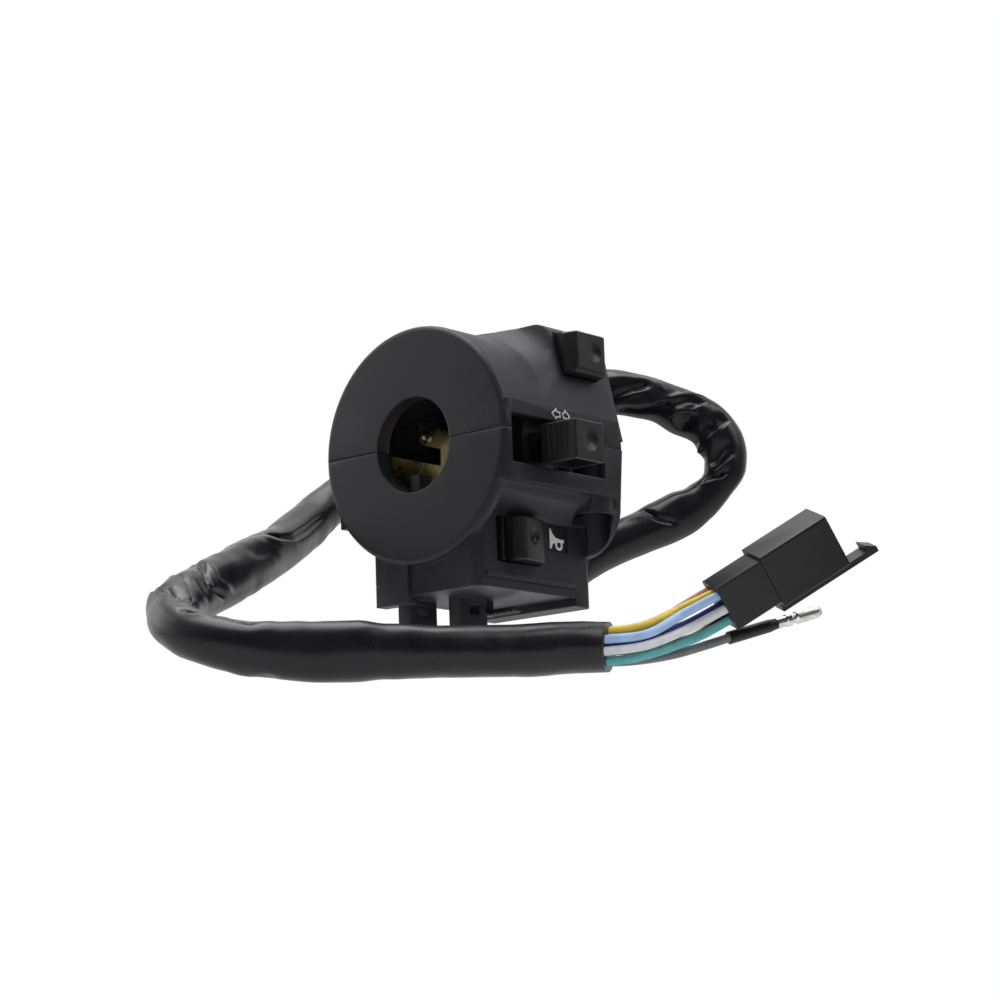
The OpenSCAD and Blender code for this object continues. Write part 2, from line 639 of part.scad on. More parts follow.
module dip_button() color([0.13, 0.13, 0.14]) {
  y0 = dip_mid_y - dip_window_len / 2 + run_gap;
  len = dip_window_len - 2 * run_gap;
  z0 = dip_mid_z - dip_window_h / 2 + run_gap;
  high = dip_window_h - 2 * run_gap;
  slope = 1.1;
  shoulder = dip_face - dip_head;
  front = dip_flange_x + dip_flange_t;
  difference() {
    union() {
      // Shank, then the head that tapers towards its face
      translate([0, 0, z0]) linear_extrude(high) polygon([[front - weld, y0], [shoulder, y0], [dip_face, y0 + slope],
        [dip_face, y0 + len - slope], [shoulder, y0 + len], [front - weld, y0 + len]]);
      block([dip_flange_x, dip_block_y0 + 0.4, z0 - 2.4], [front, y0 + len, z0 + high - 0.8]);
    }
    translate([dip_face + 5.6, dip_mid_y, dip_mid_z]) sphere(r = 6.1);
    // Small slope along the lower edge of the face
    translate([dip_face, dip_mid_y, z0]) rotate([0, 45, 0]) cube([1.2, past, 1.2], center = true);
  }
}

module dip_stem() color([0.85, 0.84, 0.8]) translate([0, dip_mid_y, dip_mid_z])
  rod_x(dip_stem_r, dip_bridge_x + 0.8, dip_flange_x);

module dip_spring() color([0.7, 0.7, 0.72]) translate([dip_block_x1 + seat_gap, dip_mid_y, dip_mid_z])
  coil_x(dip_stem_r + 0.8, 0.5, dip_flange_x - dip_block_x1 - 2 * seat_gap, 4);

module dip_block() color([0.45, 0.3, 0.14]) difference() {
  block([dip_block_x, dip_block_y0, dip_mid_z - 6], [dip_block_x1, cavity_y1 - seat_gap, dip_block_top]);
  block([-past, dip_mid_y - 4, dip_mid_z - 3.6], [dip_bridge_x + 2, dip_mid_y + 4, dip_mid_z + 3.6]);
  translate([0, dip_mid_y, dip_mid_z]) rod_x(dip_stem_r + run_gap, 0, past);
}

module dip_contacts() color([0.8, 0.65, 0.3]) for (side = [-1, 1]) translate([0, dip_mid_y + side * 2.6, 0]) {
  block([dip_block_x - 2.5, -0.9, dip_mid_z - 5.4], [dip_block_x - 1.9, 0.9, dip_mid_z + 1.2]);
  block([dip_block_x - 2.1, -0.9, dip_mid_z - 5.4], [dip_block_x - seat_gap / 2, 0.9, dip_mid_z - 4.8]);
}

module dip_bridge() color([0.8, 0.65, 0.3]) translate([0, dip_mid_y, dip_mid_z])
  rod_x(3.2, dip_bridge_x, dip_bridge_x + 0.8);

// Horn switch

module horn_button() color([0.12, 0.12, 0.13]) {
  z0 = horn_z0 + run_gap;
  high = horn_window_h - 2 * run_gap;
  face = box_side + horn_reach;
  edge = 2.6;
  y0 = horn_btn_y;
  y1 = horn_btn_y + horn_len;
  difference() {
    union() {
      // Plan of the head: a full round on the grip side, then a face that falls away
      translate([0, 0, z0]) linear_extrude(high) {
        translate([face - edge, y0 + edge]) circle(edge);
        polygon([[horn_flange_x + weld, y0], [face - edge, y0], [face - edge, y0 + edge], [face, y0 + edge],
          [face - 0.4, y0 + 6.4], [face - 1.3, y1], [horn_flange_x + weld, y1]]);
      }
      block([horn_flange_x, horn_y0 - 0.8, z0 - 1],
        [horn_flange_x + horn_flange_t, horn_y0 + horn_window_len + 0.8, z0 + high + 0.5]);
      // Upright skirt strip on the grip side of the head
      block([horn_flange_x + weld, horn_y0 + 1.9, z0], [box_side + 0.2, horn_y0 + 2.7, z0 + high]);
    }
    translate([face + 2, y0 + 6.6, horn_mid_z + 0.8]) sphere(r = 2.9);
  }
  // Stud in the dimple
  translate([0, y0 + 6.6, horn_mid_z + 0.1]) rod_x(0.6, face - 2, face - 0.55);
}

module horn_spring() color([0.7, 0.7, 0.72])
  translate([horn_base_x + horn_base_t + seat_gap, horn_spring_y, horn_mid_z])
    coil_x(2.4, 0.5, horn_flange_x - horn_base_x - horn_base_t - 2 * seat_gap, 4);

module horn_base() color([0.45, 0.3, 0.14])
  block([horn_base_x, horn_y0, cover_top + seat_gap],
    [horn_base_x + horn_base_t, horn_y0 + horn_window_len, rib_low - 0.7]);

module horn_contact() color([0.8, 0.65, 0.3]) {
  x0 = horn_base_x + horn_base_t;
  y0 = horn_btn_y + 7.4;
  block([x0, y0, horn_mid_z - 4], [x0 + 0.6, y0 + 3, horn_mid_z + 4.6]);
  block([x0, y0, horn_mid_z - 0.5], [x0 + 2.2, y0 + 3, horn_mid_z + 0.5]);
}

module horn_leaf() color([0.8, 0.65, 0.3])
  block([horn_flange_x - 0.5, horn_btn_y + 6.6, horn_mid_z - 3], [horn_flange_x, horn_btn_y + 10.6, horn_mid_z + 3]);

module horn_plate() color([0.1, 0.1, 0.11])
  slab_x(box_side - plate_t, box_side - 0.3)
    translate([plate_y0 + seat_gap, plate_z1 - plate_h + seat_gap])
      square([plate_len - 2 * seat_gap, plate_h - 2 * seat_gap]);

// Cable outlet

module cable_grommet() color([0.1, 0.1, 0.11]) translate([outlet_x, 0, -outlet_drop]) difference() {
  union() {
    rod_y(outlet_r - seat_gap, cavity_y1 - 1.6, body_len + 0.4);
    rod_y(grommet_r, body_len, body_len + grommet_flange);
    rod_y(grommet_r - 0.9, cavity_y1 - 1.6, cavity_y1 - seat_gap);
  }
  rod_y(outlet_r - 2, 0, body_len + past);
}

module cable_clip() color([0.75, 0.66, 0.26]) translate([outlet_x, clip_y, cover_top + clip_t + clip_r + seat_gap]) {
  difference() {
    union() {
      rod_y(clip_r + clip_t, 0, clip_w);
      block([-clip_r - 6, 0, -clip_r - clip_t], [0, clip_w, -clip_r]);
    }
    rod_y(clip_r, -1, clip_w + 1);
    translate([-clip_r - 3.4, clip_w / 2, -past]) cylinder(r = 1.5, h = past);
  }
}

module clip_screw() color([0.7, 0.7, 0.72])
  translate([outlet_x - clip_r - 3.4, clip_y + clip_w / 2, cover_top + clip_t + 2 * seat_gap]) {
    cylinder(r = 2.2, h = 1.4);
    translate([0, 0, -2.6]) cylinder(r = 1.15, h = 2.8);
  }

// Toothed strap that holds the leads inside and leaves its end under the box
module tie_strap() color([0.09, 0.09, 0.1]) translate([strap_place[0], strap_place[1], 0]) {
  low = cover_z - 3.6;
  teeth = 8;
  pitch = strap_len / (teeth + 1);
  difference() {
    block([0, 0, low], [strap_len, strap_w, low + strap_t]);
    for (i = [1:teeth]) translate([i * pitch + 0.6, -1, low]) rotate([0, 45, 0]) cube([0.6, strap_w + 2, 0.6]);
  }
  block([0, 0, low], [strap_t, strap_w, cover_top + 4]);
  block([-2, -0.5, cover_top + seat_gap], [0.2, strap_w + 0.5, cover_top + 4]);
}

// Harness

module harness_sleeve() color([0.09, 0.09, 0.1]) tube(sleeve_route, sleeve_d, 10);

module wire(route, shade) color(shade) tube(through(route, 3), wire_d, 8);
module wire_yellow() wire(yellow_route, [0.86, 0.76, 0.2]);
module wire_light_blue() wire(light_blue_route, [0.6, 0.76, 0.92]);
module wire_white() wire(white_route, [0.9, 0.9, 0.9]);
module wire_teal() wire(teal_route, [0.35, 0.72, 0.7]);
module wire_dark_blue() wire(dark_blue_route, [0.15, 0.2, 0.55]);
module wire_brown() wire(brown_route, [0.75, 0.42, 0.2]);
module wire_black() wire(black_route, [0.08, 0.08, 0.09]);
module wire_grey() wire(grey_route, [0.48, 0.48, 0.48]);

// Places of the ports in the mating face
port_pitch_y = (conn_w - 2) / port_cols;
port_pitch_z = (conn_h - 1.6) / port_rows;
module at_ports() for (c = [0:port_cols - 1], r = [0:port_rows - 1])
  translate([0, (c - (port_cols - 1) / 2) * port_pitch_y, (r - (port_rows - 1) / 2) * port_pitch_z]) children();

module connector_housing() color([0.1, 0.1, 0.11]) translate(conn_place) rotate(conn_turn) {
  back_w = conn_w - 2 * conn_step;
  back_h = conn_h - 2 * conn_step;
  total = conn_back_len + conn_front_len;
  arm_t = 1.3;
  arm_w = 5;
  arm_gap = 0.7;
  hook = 1.6;
  arm_z = -conn_h / 2 - arm_gap - arm_t;
  difference() {
    union() {
      slab_x(0, conn_back_len + weld) translate([-back_w / 2, -back_h / 2]) round_rect([back_w, back_h], 0.5);
      slab_x(conn_back_len, total) translate([-conn_w / 2, -conn_h / 2]) round_rect([conn_w, conn_h], 0.6);
    }
    at_ports() block([total - port_depth, -port[0] / 2, -port[1] / 2], [total + 1, port[0] / 2, port[1] / 2]);
  }
  // Latch arm: it stands off the wide end on its root and reaches past the mating face
  block([conn_back_len, -arm_w / 2, arm_z], [conn_back_len + 2.4, arm_w / 2, -conn_h / 2 + weld]);
  block([conn_back_len, -arm_w / 2, arm_z], [total + 8, arm_w / 2, arm_z + arm_t]);
  slab_y(-arm_w / 2, arm_w / 2) polygon([[total + 5.6, arm_z + arm_t - 0.1], [total + 8, arm_z + arm_t - 0.1],
    [total + 5.6, arm_z + arm_t + hook]]);
}

module connector_terminals() color([0.8, 0.65, 0.3]) translate(conn_place) rotate(conn_turn)
  at_ports() difference() {
    total = conn_back_len + conn_front_len;
    block([total - port_depth + seat_gap, -port[0] / 2 + seat_gap, -port[1] / 2 + seat_gap],
      [total - 2, port[0] / 2 - seat_gap, port[1] / 2 - seat_gap]);
    block([total - port_depth + 4, -port[0] / 2 + 0.6, -0.35], [total, port[0] / 2 - 0.6, 0.35]);
  }

module bullet_boot() color([0.07, 0.07, 0.08]) translate(bullet_place) rotate(bullet_turn) {
  cylinder(r = boot_r, h = boot_len - 2);
  translate([0, 0, boot_len - 2 - seat_gap]) cylinder(r1 = boot_r, r2 = boot_r - 0.25, h = 2);
}

module bullet_terminal() color([0.82, 0.82, 0.84]) translate(bullet_place) rotate(bullet_turn)
  translate([0, 0, boot_len]) rotate_extrude() polygon([
    [0, 0], [bullet_d * 0.42, 0], [bullet_d * 0.42, 2.4], [bullet_d / 2, 2.6], [bullet_d / 2, 3.8],
    [bullet_d * 0.38, 4.2], [bullet_d * 0.38, 5], [bullet_d / 2, 5.4], [bullet_d / 2, bullet_len - 1],
    [bullet_d * 0.32, bullet_len], [0, bullet_len]]);

upper_shell();
union() {
  lower_shell();
  color([0.15, 0.15, 0.16]) locating_peg();
}
bottom_cover();
clamp_screws();
bar_saddle();
earth_tab();
earth_rivet();
turn_knob();
turn_carriage();
turn_wiper();
turn_detent_ball();
turn_detent_spring();
turn_board();
turn_rails();
turn_bracket();
dip_button();
dip_stem();
dip_spring();
dip_block();
dip_contacts();
dip_bridge();
horn_button();
horn_spring();
horn_base();
horn_contact();
horn_leaf();
horn_plate();
cable_grommet();
cable_clip();
clip_screw();
tie_strap();
harness_sleeve();
wire_yellow();
wire_light_blue();
wire_white();
wire_teal();
wire_dark_blue();
wire_brown();
wire_black();
wire_grey();
connector_housing();
connector_terminals();
bullet_terminal();
bullet_boot();
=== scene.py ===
import math

import bmesh
import bpy
from mathutils import Matrix, Vector, noise
from mathutils.bvhtree import BVHTree


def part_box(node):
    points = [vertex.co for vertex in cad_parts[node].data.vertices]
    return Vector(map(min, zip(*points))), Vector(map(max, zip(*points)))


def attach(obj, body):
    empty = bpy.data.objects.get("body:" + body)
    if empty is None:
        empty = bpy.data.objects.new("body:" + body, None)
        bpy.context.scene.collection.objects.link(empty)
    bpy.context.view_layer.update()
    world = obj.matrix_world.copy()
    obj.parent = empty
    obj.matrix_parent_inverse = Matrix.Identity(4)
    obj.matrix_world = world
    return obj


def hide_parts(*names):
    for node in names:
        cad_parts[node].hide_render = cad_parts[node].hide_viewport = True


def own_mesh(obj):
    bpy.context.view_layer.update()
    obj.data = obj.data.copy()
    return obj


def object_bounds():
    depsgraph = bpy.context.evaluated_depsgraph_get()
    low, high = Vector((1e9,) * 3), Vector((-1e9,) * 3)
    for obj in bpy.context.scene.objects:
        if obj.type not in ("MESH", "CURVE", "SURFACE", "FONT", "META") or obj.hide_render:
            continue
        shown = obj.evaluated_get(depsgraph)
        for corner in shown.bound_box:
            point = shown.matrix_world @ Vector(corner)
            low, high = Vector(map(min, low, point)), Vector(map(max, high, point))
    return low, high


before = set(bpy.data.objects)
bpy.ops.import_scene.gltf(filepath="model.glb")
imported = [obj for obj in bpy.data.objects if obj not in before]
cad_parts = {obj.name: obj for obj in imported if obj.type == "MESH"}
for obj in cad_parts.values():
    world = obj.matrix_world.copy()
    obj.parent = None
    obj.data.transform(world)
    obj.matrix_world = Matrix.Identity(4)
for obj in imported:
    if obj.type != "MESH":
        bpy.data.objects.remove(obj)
CAD_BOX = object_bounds()

bl_info = {
    "name": "Handlebar switch cluster",
    "version": (1, 0, 0),
    "blender": (4, 5, 0),
    "location": "View3D > Sidebar > Switch cluster",
    "description": "Dresses the packed switch cluster: mouldings, sleeve, wires, signs and studio",
    "category": "Object",
}

MM = 0.001

# Camera of the photograph, in millimetres of the part's frame
CAMERA_PLACE = (420.3, -468.6, -130.4)
CAMERA_RIGHT = (0.7604, 0.6486, -0.0336)
CAMERA_UP = (0.1437, -0.1175, 0.9826)
CAMERA_BACK = (0.6334, -0.752, -0.1825)
CAMERA_SENSOR = 36.0
CAMERA_LENS = 100.8

# Soft lamps: name, place, size and level, all facing one point, in metres
LAMP_TARGET = Vector((0.004, 0.0, -0.015))
LAMPS = (
    ("Top lamp", (-0.06, -0.02, 0.66), (0.62, 0.5), 4.6),
    ("Left lamp", (-0.66, -0.2, 0.3), (0.4, 0.5), 1.2),
    ("Right lamp", (0.5, 0.3, 0.5), (0.36, 0.5), 3.1),
)
FLOOR_RADIUS = 1.1
FLOOR_DROP = 0.0012
ROOM_AXIS = (0.88, -0.46, -0.12)
WHITE = (1.0, 1.0, 1.0, 1.0)

# Centre line of the sleeve from the grommet to its cut end, in millimetres
SLEEVE_ROUTE = (
    (8, 44.3, -25), (8, 45.8, -25), (9.3, 49.6, -22.8), (11.1, 53.8, -20.5), (13.5, 58, -18.4),
    (16.3, 62.4, -16.3), (19.1, 66.5, -14.4), (21.9, 70.3, -12.3), (24.8, 74, -9.7), (27.4, 77.1, -6.4),
    (29.3, 79.3, -2.7), (30.1, 80.4, 1.8), (29.4, 80.3, 6.3), (27.2, 78.9, 10.4), (23.8, 76.5, 13.7),
    (20.1, 73.8, 16.2), (16.3, 71.1, 18.4), (12.3, 68.3, 19.8), (8, 65.4, 20.7), (3.6, 62.5, 21.2),
    (-0.9, 59.7, 21.6), (-5.4, 57, 21.8), (-10, 54.7, 21.6), (-14.6, 52.8, 20.8), (-19.3, 51.2, 19.4),
    (-24.1, 49.8, 17.6), (-29, 48.3, 15.5), (-39, 38.8, 8), (-44, 28, 0), (-45, 18, -6.5),
    (-42, 5, -13.5), (-37, -8, -19.5), (-31, -22, -25.5), (-25, -36, -32), (-19.6, -49.6, -37.4),
    (-13.3, -61.2, -42.3), (-5.8, -69.6, -46.6), (3.4, -71.6, -50.4), (13.2, -66.8, -53.4), (22, -58, -55),
    (30, -47, -55), (38, -35, -55), (46, -20, -54.5), (50, -11, -53.5), (54, -2, -53),
)

# How far the two sides of the sleeve stand off its round form: millimetres along it, degrees round it
# and millimetres out
SLEEVE_SIDES = (
    (
        (0, 74, 0), (10, 76, -0.2), (16, 78, -0.38), (34, 76, -0.3), (40, 74, -0.9), (46, 69, -1.35),
        (52, 60, -0.1), (58, 53, 0.3), (64, 48, 0.5), (70, 46, 0), (76, 46, -0.25), (82, 45, -0.1),
        (88, 45, 0.3), (110, 45, 0.1), (130, 40, 0), (160, 38, 0.4), (172, 38, 0.1), (184, 38, -0.3),
        (196, 36, -0.5), (202, 36, -1.1), (208, 34, -0.5), (214, 34, -0.1), (220, 38, 0.3), (226, 39, 0.7),
        (232, 38, 0.8), (238, 33, 1.2), (244, 30, 1.4), (250, 33, 0.8), (256, 36, 1.3), (262, 42, 1.1),
        (268, 51, 1.4), (274, 82, 0.1), (280, 141, -0.3), (286, 154, 0.15), (298, 160, 0.4),
        (310, 160, 0.6), (322, 160, 0.7), (328, 160, 0.1), (340, 160, -0.25), (352, 159, -0.3),
        (364, 158, 0.2), (377, 159, 0.05),
    ),
    (
        (0, 260, 0), (22, 260, -0.1), (28, 260, 0.6), (34, 258, 0.7), (40, 254, -0.3), (46, 249, -1.1),
        (52, 242, -0.4), (58, 232, 0.6), (64, 228, 0.1), (70, 228, 0.7), (76, 226, -0.1), (82, 226, 0.1),
        (100, 226, 0), (160, 219, -0.2), (172, 219, -0.6), (178, 220, -0.05), (184, 220, 0.6),
        (196, 219, 0.9), (208, 218, 1.05), (214, 218, 1.1), (226, 222, 0.8), (232, 220, 0.35),
        (240, 215, 0.2), (256, 230, 0), (270, 300, -0.3), (280, 322, -1), (290, 334, -0.6),
        (298, 342, -0.35), (304, 342, 0.45), (310, 342, 0.95), (316, 340, 1.2), (322, 340, 1.35),
        (328, 340, 0.7), (340, 340, 0.35), (358, 340, 0.5), (370, 340, 0.2), (377, 340, 0.1),
    ),
)

# Folds in the vinyl: millimetres along the sleeve, degrees round it, half length along the fold,
# half width across it, turn of the fold from the sleeve's run in degrees, and height (minus is in)
SLEEVE_FOLDS = (
    (209.9, 334, 2.1, 0.75, 45, -0.85), (205.6, 310, 3.7, 0.75, 19, -0.85),
    (198.4, 298, 4.9, 0.75, 1, -0.85), (189.1, 298, 5.8, 0.75, -2, -0.85), (213.4, 325, 3.3, 1.1, 38, 0.4),
    (207.1, 295, 4.8, 1.1, 15, 0.4), (196.9, 278, 7.2, 1.1, 5, 0.4), (188.9, 343, 12.9, 2, -0, -0.45),
    (231.4, 5, 7.2, 1.5, 6, 0.4), (220.6, 350, 5.3, 1.5, 10, 0.4), (221.6, 309, 5.8, 2, 10, -0.55),
    (248.7, 5, 5.3, 0.75, -30, -0.95), (253.9, 325, 2.2, 0.75, -50, -0.95),
    (252.7, 292, 3.4, 0.75, 32, -0.95), (248.4, 334, 3.7, 1.1, -45, 0.35), (247.9, 293, 3.7, 1.1, 31, 0.35),
    (258.4, 321, 3.1, 1.4, -63, -0.6), (297.7, 0, 2.4, 0.85, 12, -0.9), (291.7, 338, 2.3, 1.1, 2, 0.4),
    (285.7, 10, 1.8, 0.9, -13, -1), (288.2, 14, 2.1, 0.9, -35, 0.35), (299.2, 159, 2.4, 1.8, 12, 0.35),
    (304.4, 148, 1.6, 1.2, 24, -0.3), (308.4, 52, 8.3, 2.6, -2, -0.3), (84.8, 320, 2.9, 0.95, -28, -1),
    (81.3, 342, 1.7, 0.95, -34, -1), (85.8, 2, 3.2, 1, -10, 0.4), (80.8, 8, 2.6, 1, -2, 0.4),
    (77.3, 1, 1.7, 1, 32, 0.4), (82.8, 319, 3.5, 0.7, -26, 0.35), (83.1, 271, 2.9, 1, -8, -0.95),
    (78.5, 286, 2.6, 1, -28, -0.95), (75.0, 311, 2.3, 1, -42, -0.95), (75.3, 322, 2.5, 0.8, -37, 0.45),
    (71.8, 356, 2.9, 0.8, -46, 0.45), (68.5, 25, 2.0, 0.8, -31, 0.45), (70.8, 340, 2.2, 0.75, -48, -0.8),
    (67.8, 2, 2.1, 0.75, -18, -0.8), (67.5, 296, 2.4, 1.8, -45, -1.1), (71.3, 304, 1.4, 0.6, -53, 0.5),
    (68.8, 323, 2.2, 0.6, -24, 0.5), (66.3, 350, 2.1, 0.6, -66, 0.5), (61.5, 324, 1.6, 1.4, 69, -1.1),
    (61.8, 357, 2.1, 1.4, -82, -1.1), (52.5, 302, 2.5, 1.5, 25, -1.2), (55.0, 328, 1.9, 1.5, 72, -1.2),
    (47.8, 336, 1.7, 0.8, 34, -0.75), (57.8, 262, 2.2, 0.8, 22, 1), (25.5, 303, 2.8, 0.75, 66, -0.85),
    (28.3, 342, 2.6, 0.75, 39, -0.85), (21.5, 295, 2.4, 1.1, 14, 0.4), (34.5, 299, 5.8, 1.8, 1, 0.3),
)

# Pleat lips on the tight bends, in the same terms: one side stands up and the other falls away
SLEEVE_LIPS = (
    (259.4, 20, 2.8, 1.5, 138, 1.2), (263.9, 350, 3.6, 1.5, 156, 1.2), (268.9, 326, 3.0, 1.5, 155, 1.2),
    (266.9, 40, 1.4, 1.2, 132, 1), (271.4, 14, 4.9, 1.2, 156, 1), (272.4, 23, 6.2, 1.6, 146, 1.4),
    (275.2, 332, 2.9, 1.6, 52, 1.4), (280.9, 326, 8.9, 1.6, -170, 1.4), (251.2, 34, 3.0, 1, 3, 0.6),
    (246.4, 32, 2.7, 1, 4, 0.6), (59.5, 320, 1.8, 1.3, -90, 1), (59.8, 0, 2.7, 1.3, -96, 1),
    (45.3, 306, 3.3, 1.2, -174, 1.1), (49.5, 320, 2.2, 1.2, -147, 1.1), (52.0, 340, 1.7, 1.2, -135, 1.1),
    (44.0, 314, 2.2, 0.9, -147, 0.6), (47.3, 336, 2.5, 0.9, -147, 0.6),
)

# Spacing of the sleeve's rings, points in each, and lengths at its two ends over which its folds die away
SLEEVE_STEP = 0.42
SLEEVE_AROUND = 96
SLEEVE_CALM = (5.0, 7.0)
SLEEVE_CALM_LEAST = 0.25

# Height and scale of the vinyl's uneven waves, and the least and most that it stands off its round form
SLEEVE_WAVES = ((0.16, 0.085), (0.07, 0.23))
SLEEVE_LIFTS = (-2.6, 2.0)

# How far a fold and a lip reach, in their half lengths, and how sharply and how widely a lip falls away
FOLD_REACH = 2.6
LIP_REACH = 4.5
LIP_STEP = 0.16
LIP_WIDTH = 1.3

# Slanted cut at the end of the sleeve: how far out its middle is, how much further its back reaches and its
# front falls short, the front's direction, and the length over which the rings lean
CUT_MIDDLE = 1.9
CUT_RISE = 5.0
CUT_FRONT = Vector((0.67, -0.74, -0.18)).normalized()
CUT_REACH = 9.0

# Rings of the lining in the cut end: how far back, and the share of the cut's slant
CUT_LINING = ((0.0, 1.0), (2.0, 0.78), (9.0, 0.0), (16.0, 0.0))

# Routes of the wires from the cut end of the sleeve to the connector or the bullet's boot
WIRE_ROUTES = {
    "yellow": ((54, -1.9, -49.7), (58.3, 7, -48.2), (60.3, 18, -43.9), (65.6, 23.4, -40.5)),
    "light_blue": ((56.2, -2.9, -51.6), (60.5, 6, -50.2), (62.5, 16.5, -45.2), (67.9, 21.8, -41.5)),
    "white": ((56.2, -2.7, -54.1), (60.5, 6, -52.6), (63, 18.5, -48), (68.3, 23.8, -44.3)),
    "teal": ((54.5, -1.8, -56.2), (58.8, 6.7, -54.7), (62, 21.3, -50), (67.3, 26.6, -46.3)),
    "dark_blue": ((54, -1.8, -52.7), (57.9, 7.3, -51.2), (60.5, 20, -47), (66.1, 25.2, -43.2)),
    "brown": ((51.9, -0.9, -51.1), (56.2, 8, -50.2), (58, 19.5, -43.9), (63.4, 24.8, -39.6)),
    "black": ((51.5, -0.7, -53.5), (55.8, 8.2, -52.8), (59.3, 23.1, -49.7), (64.6, 28.4, -45.2)),
    "grey": (
        (52.4, -0.9, -56), (55.5, 7.8, -55.3), (58.5, 17, -53.7), (61.7, 24.5, -51.5), (64.4, 30.1, -49.6)),
}

# Length of a wire inside the sleeve and inside its fitting, and the spacing of its points
WIRE_IN_SLEEVE = 8.0
WIRE_IN_FITTING = 1.2
WIRE_STEP = 0.9

# From here on in metres: the gap within which two corners are one, and a hair, to find what lies on a face
SAME_POINT = 0.000002
HAIR = 0.00001

# Turn in degrees from which an edge of a moulding is rounded, and steps in a quarter round
SHARP_TURN = 38.0
ROUND_STEPS = 7

# Finger dimples: middle across and up, reach round it, shift to where it is seen, and times the solid's depth
KNOB_DIMPLE = ((0.0176, -0.0027), 0.00285, (-0.0001, 0.0003), 1.4)
DIP_DIMPLE = ((0.03155, 0.0213), 0.0025, (0.0012, 0.0006), 1.5)
DIMPLE_DEEPEST = 0.0012

# Turn knob: its wall, the hollow under it and the hollow's draft
KNOB_WALL = 0.00075
KNOB_HOLLOW = 0.0052
KNOB_DRAFT = 0.00002

# Dip button: length of its head, and how much rounder it is than the other controls
DIP_HEAD = 0.0062
DIP_ROUNDER = 1.4

# Horn button: its flange and how deep the rest is set in it, the head's ends along it and margins up it, and
# the rib beside the head with its ends, top and share of the rounding
HORN_FLANGE = 1.7 * MM
HORN_ROOT = 0.5 * MM
HORN_HEAD_ENDS = (4.2 * MM, 14.6 * MM)
HORN_HEAD_MARGINS = (1.0 * MM, 0.5 * MM)
HORN_RIB_ENDS = (2.7 * MM, 3.5 * MM)
HORN_RIB_TOP = 4.6 * MM
HORN_RIB_SHARE = 0.6

# Head of the horn button: round of its grip side and of its other edges, steps across and up between them,
# and the fall of its face with the curve of that fall
HORN_GRIP = 2.6 * MM
HORN_EDGE = 0.5 * MM
HORN_STEPS = (40, 46)
HORN_FALL = 1.3 * MM
HORN_FALL_CURVE = 1.6

# Dimple of the horn button with its middle, reach, depth and curve, and the stud in it
HORN_DIMPLE = (5.8 * MM, 5.75 * MM)
HORN_DIMPLE_REACH = 1.95 * MM
HORN_DIMPLE_DEPTH = 1.0 * MM
HORN_DIMPLE_CURVE = 0.75
HORN_STUD_DROP = 0.6 * MM
HORN_STUD_REACH = 0.6 * MM
HORN_STUD_HEIGHT = 0.55 * MM
HORN_STUD_SLOPE = 3.0
HORN_STUD_FOOT = 1.2

# Small roundings of the horn plate and the slider's board, and how much further the drawn board reaches
PLATE_EDGE = 0.0002
BOARD_EDGE = 0.0001
BOARD_REACH = 0.001

# Springs that press together: node, joint and the place of the end that is held
PRESSED_SPRINGS = (("dip_spring", "dip_press", 0.0116), ("horn_spring", "horn_press", 0.0071))

# Signs, in millimetres across and up the face: the two arrows, the horn's bell and the middle of its ring
ARROW_SIGNS = {
    "turn_sign_left": (
        (16.3, 5.1), (18.1, 6.6), (18.25, 5.85), (19.4, 5.85), (19.6, 4.4), (18.4, 4.4), (17.9, 3.85)),
    "turn_sign_right": (
        (23.0, 5.2), (21.9, 3.85), (21.5, 4.45), (20.45, 4.45), (20.1, 5.75), (20.9, 5.9), (21.2, 6.6)),
}
HORN_BELL = (
    (27.75, -18.75), (28.15, -18.75), (28.75, -19.9), (29.9, -20.75), (31.6, -21.0), (32.9, -21.0),
    (32.9, -21.75), (31.6, -21.75), (29.9, -21.8), (28.75, -22.4), (28.15, -23.5), (27.75, -23.5),
)
HORN_RING = (31.2, -22.3)

# Strokes of the arrows and of the horn's ring, the ring's radius, and a place well outside the housing
ARROW_STROKE = 0.0003
RING_STROKE = 0.00062
RING_RADIUS = 0.00135
OUTSIDE = 0.1

# Moulded finishes by slot: colour or its setting, roughness, scale, depth and strength of the grain, gloss,
# share of dust, and the shaded rounding of edges or its setting
MOULDED_FINISHES = {
    "housing_plastic": ("housing", 0.46, 3200.0, 0.00002, 0.35, 0.3, 0.12, "shell_edge"),
    "control_plastic": ("control", 0.38, 3600.0, 0.000012, 0.25, 0.36, 0.08, 0.0001),
    "switch_plastic": ((0.55, 0.53, 0.46), 0.45, 3000.0, 0.000012, 0.25, 0.4, 0.0, 0.0),
    "strap_nylon": ((0.014, 0.014, 0.015), 0.42, 3600.0, 0.00001, 0.2, 0.35, 0.1, 0.0),
    "connector_nylon": ("connector", 0.4, 3000.0, 0.000012, 0.3, 0.36, 0.12, "connector_edge"),
    "boot_vinyl": ((0.01, 0.01, 0.011), 0.36, 1800.0, 0.00001, 0.2, 0.35, 0.05, 0.0),
}

# Metals by slot: colour or its setting, roughness, and how the streaks are stretched
METAL_FINISHES = {
    "plated_steel": ("plated", 0.28, (150.0, 2400.0, 2400.0)),
    "screw_steel": ((0.58, 0.55, 0.45), 0.32, (2400.0, 2400.0, 200.0)),
    "spring_steel": ((0.6, 0.6, 0.62), 0.24, (900.0, 900.0, 900.0)),
    "contact_brass": ((0.72, 0.53, 0.22), 0.26, (1800.0, 160.0, 1800.0)),
    "bullet_tin": ((0.8, 0.8, 0.79), 0.2, (700.0, 300.0, 1200.0)),
}

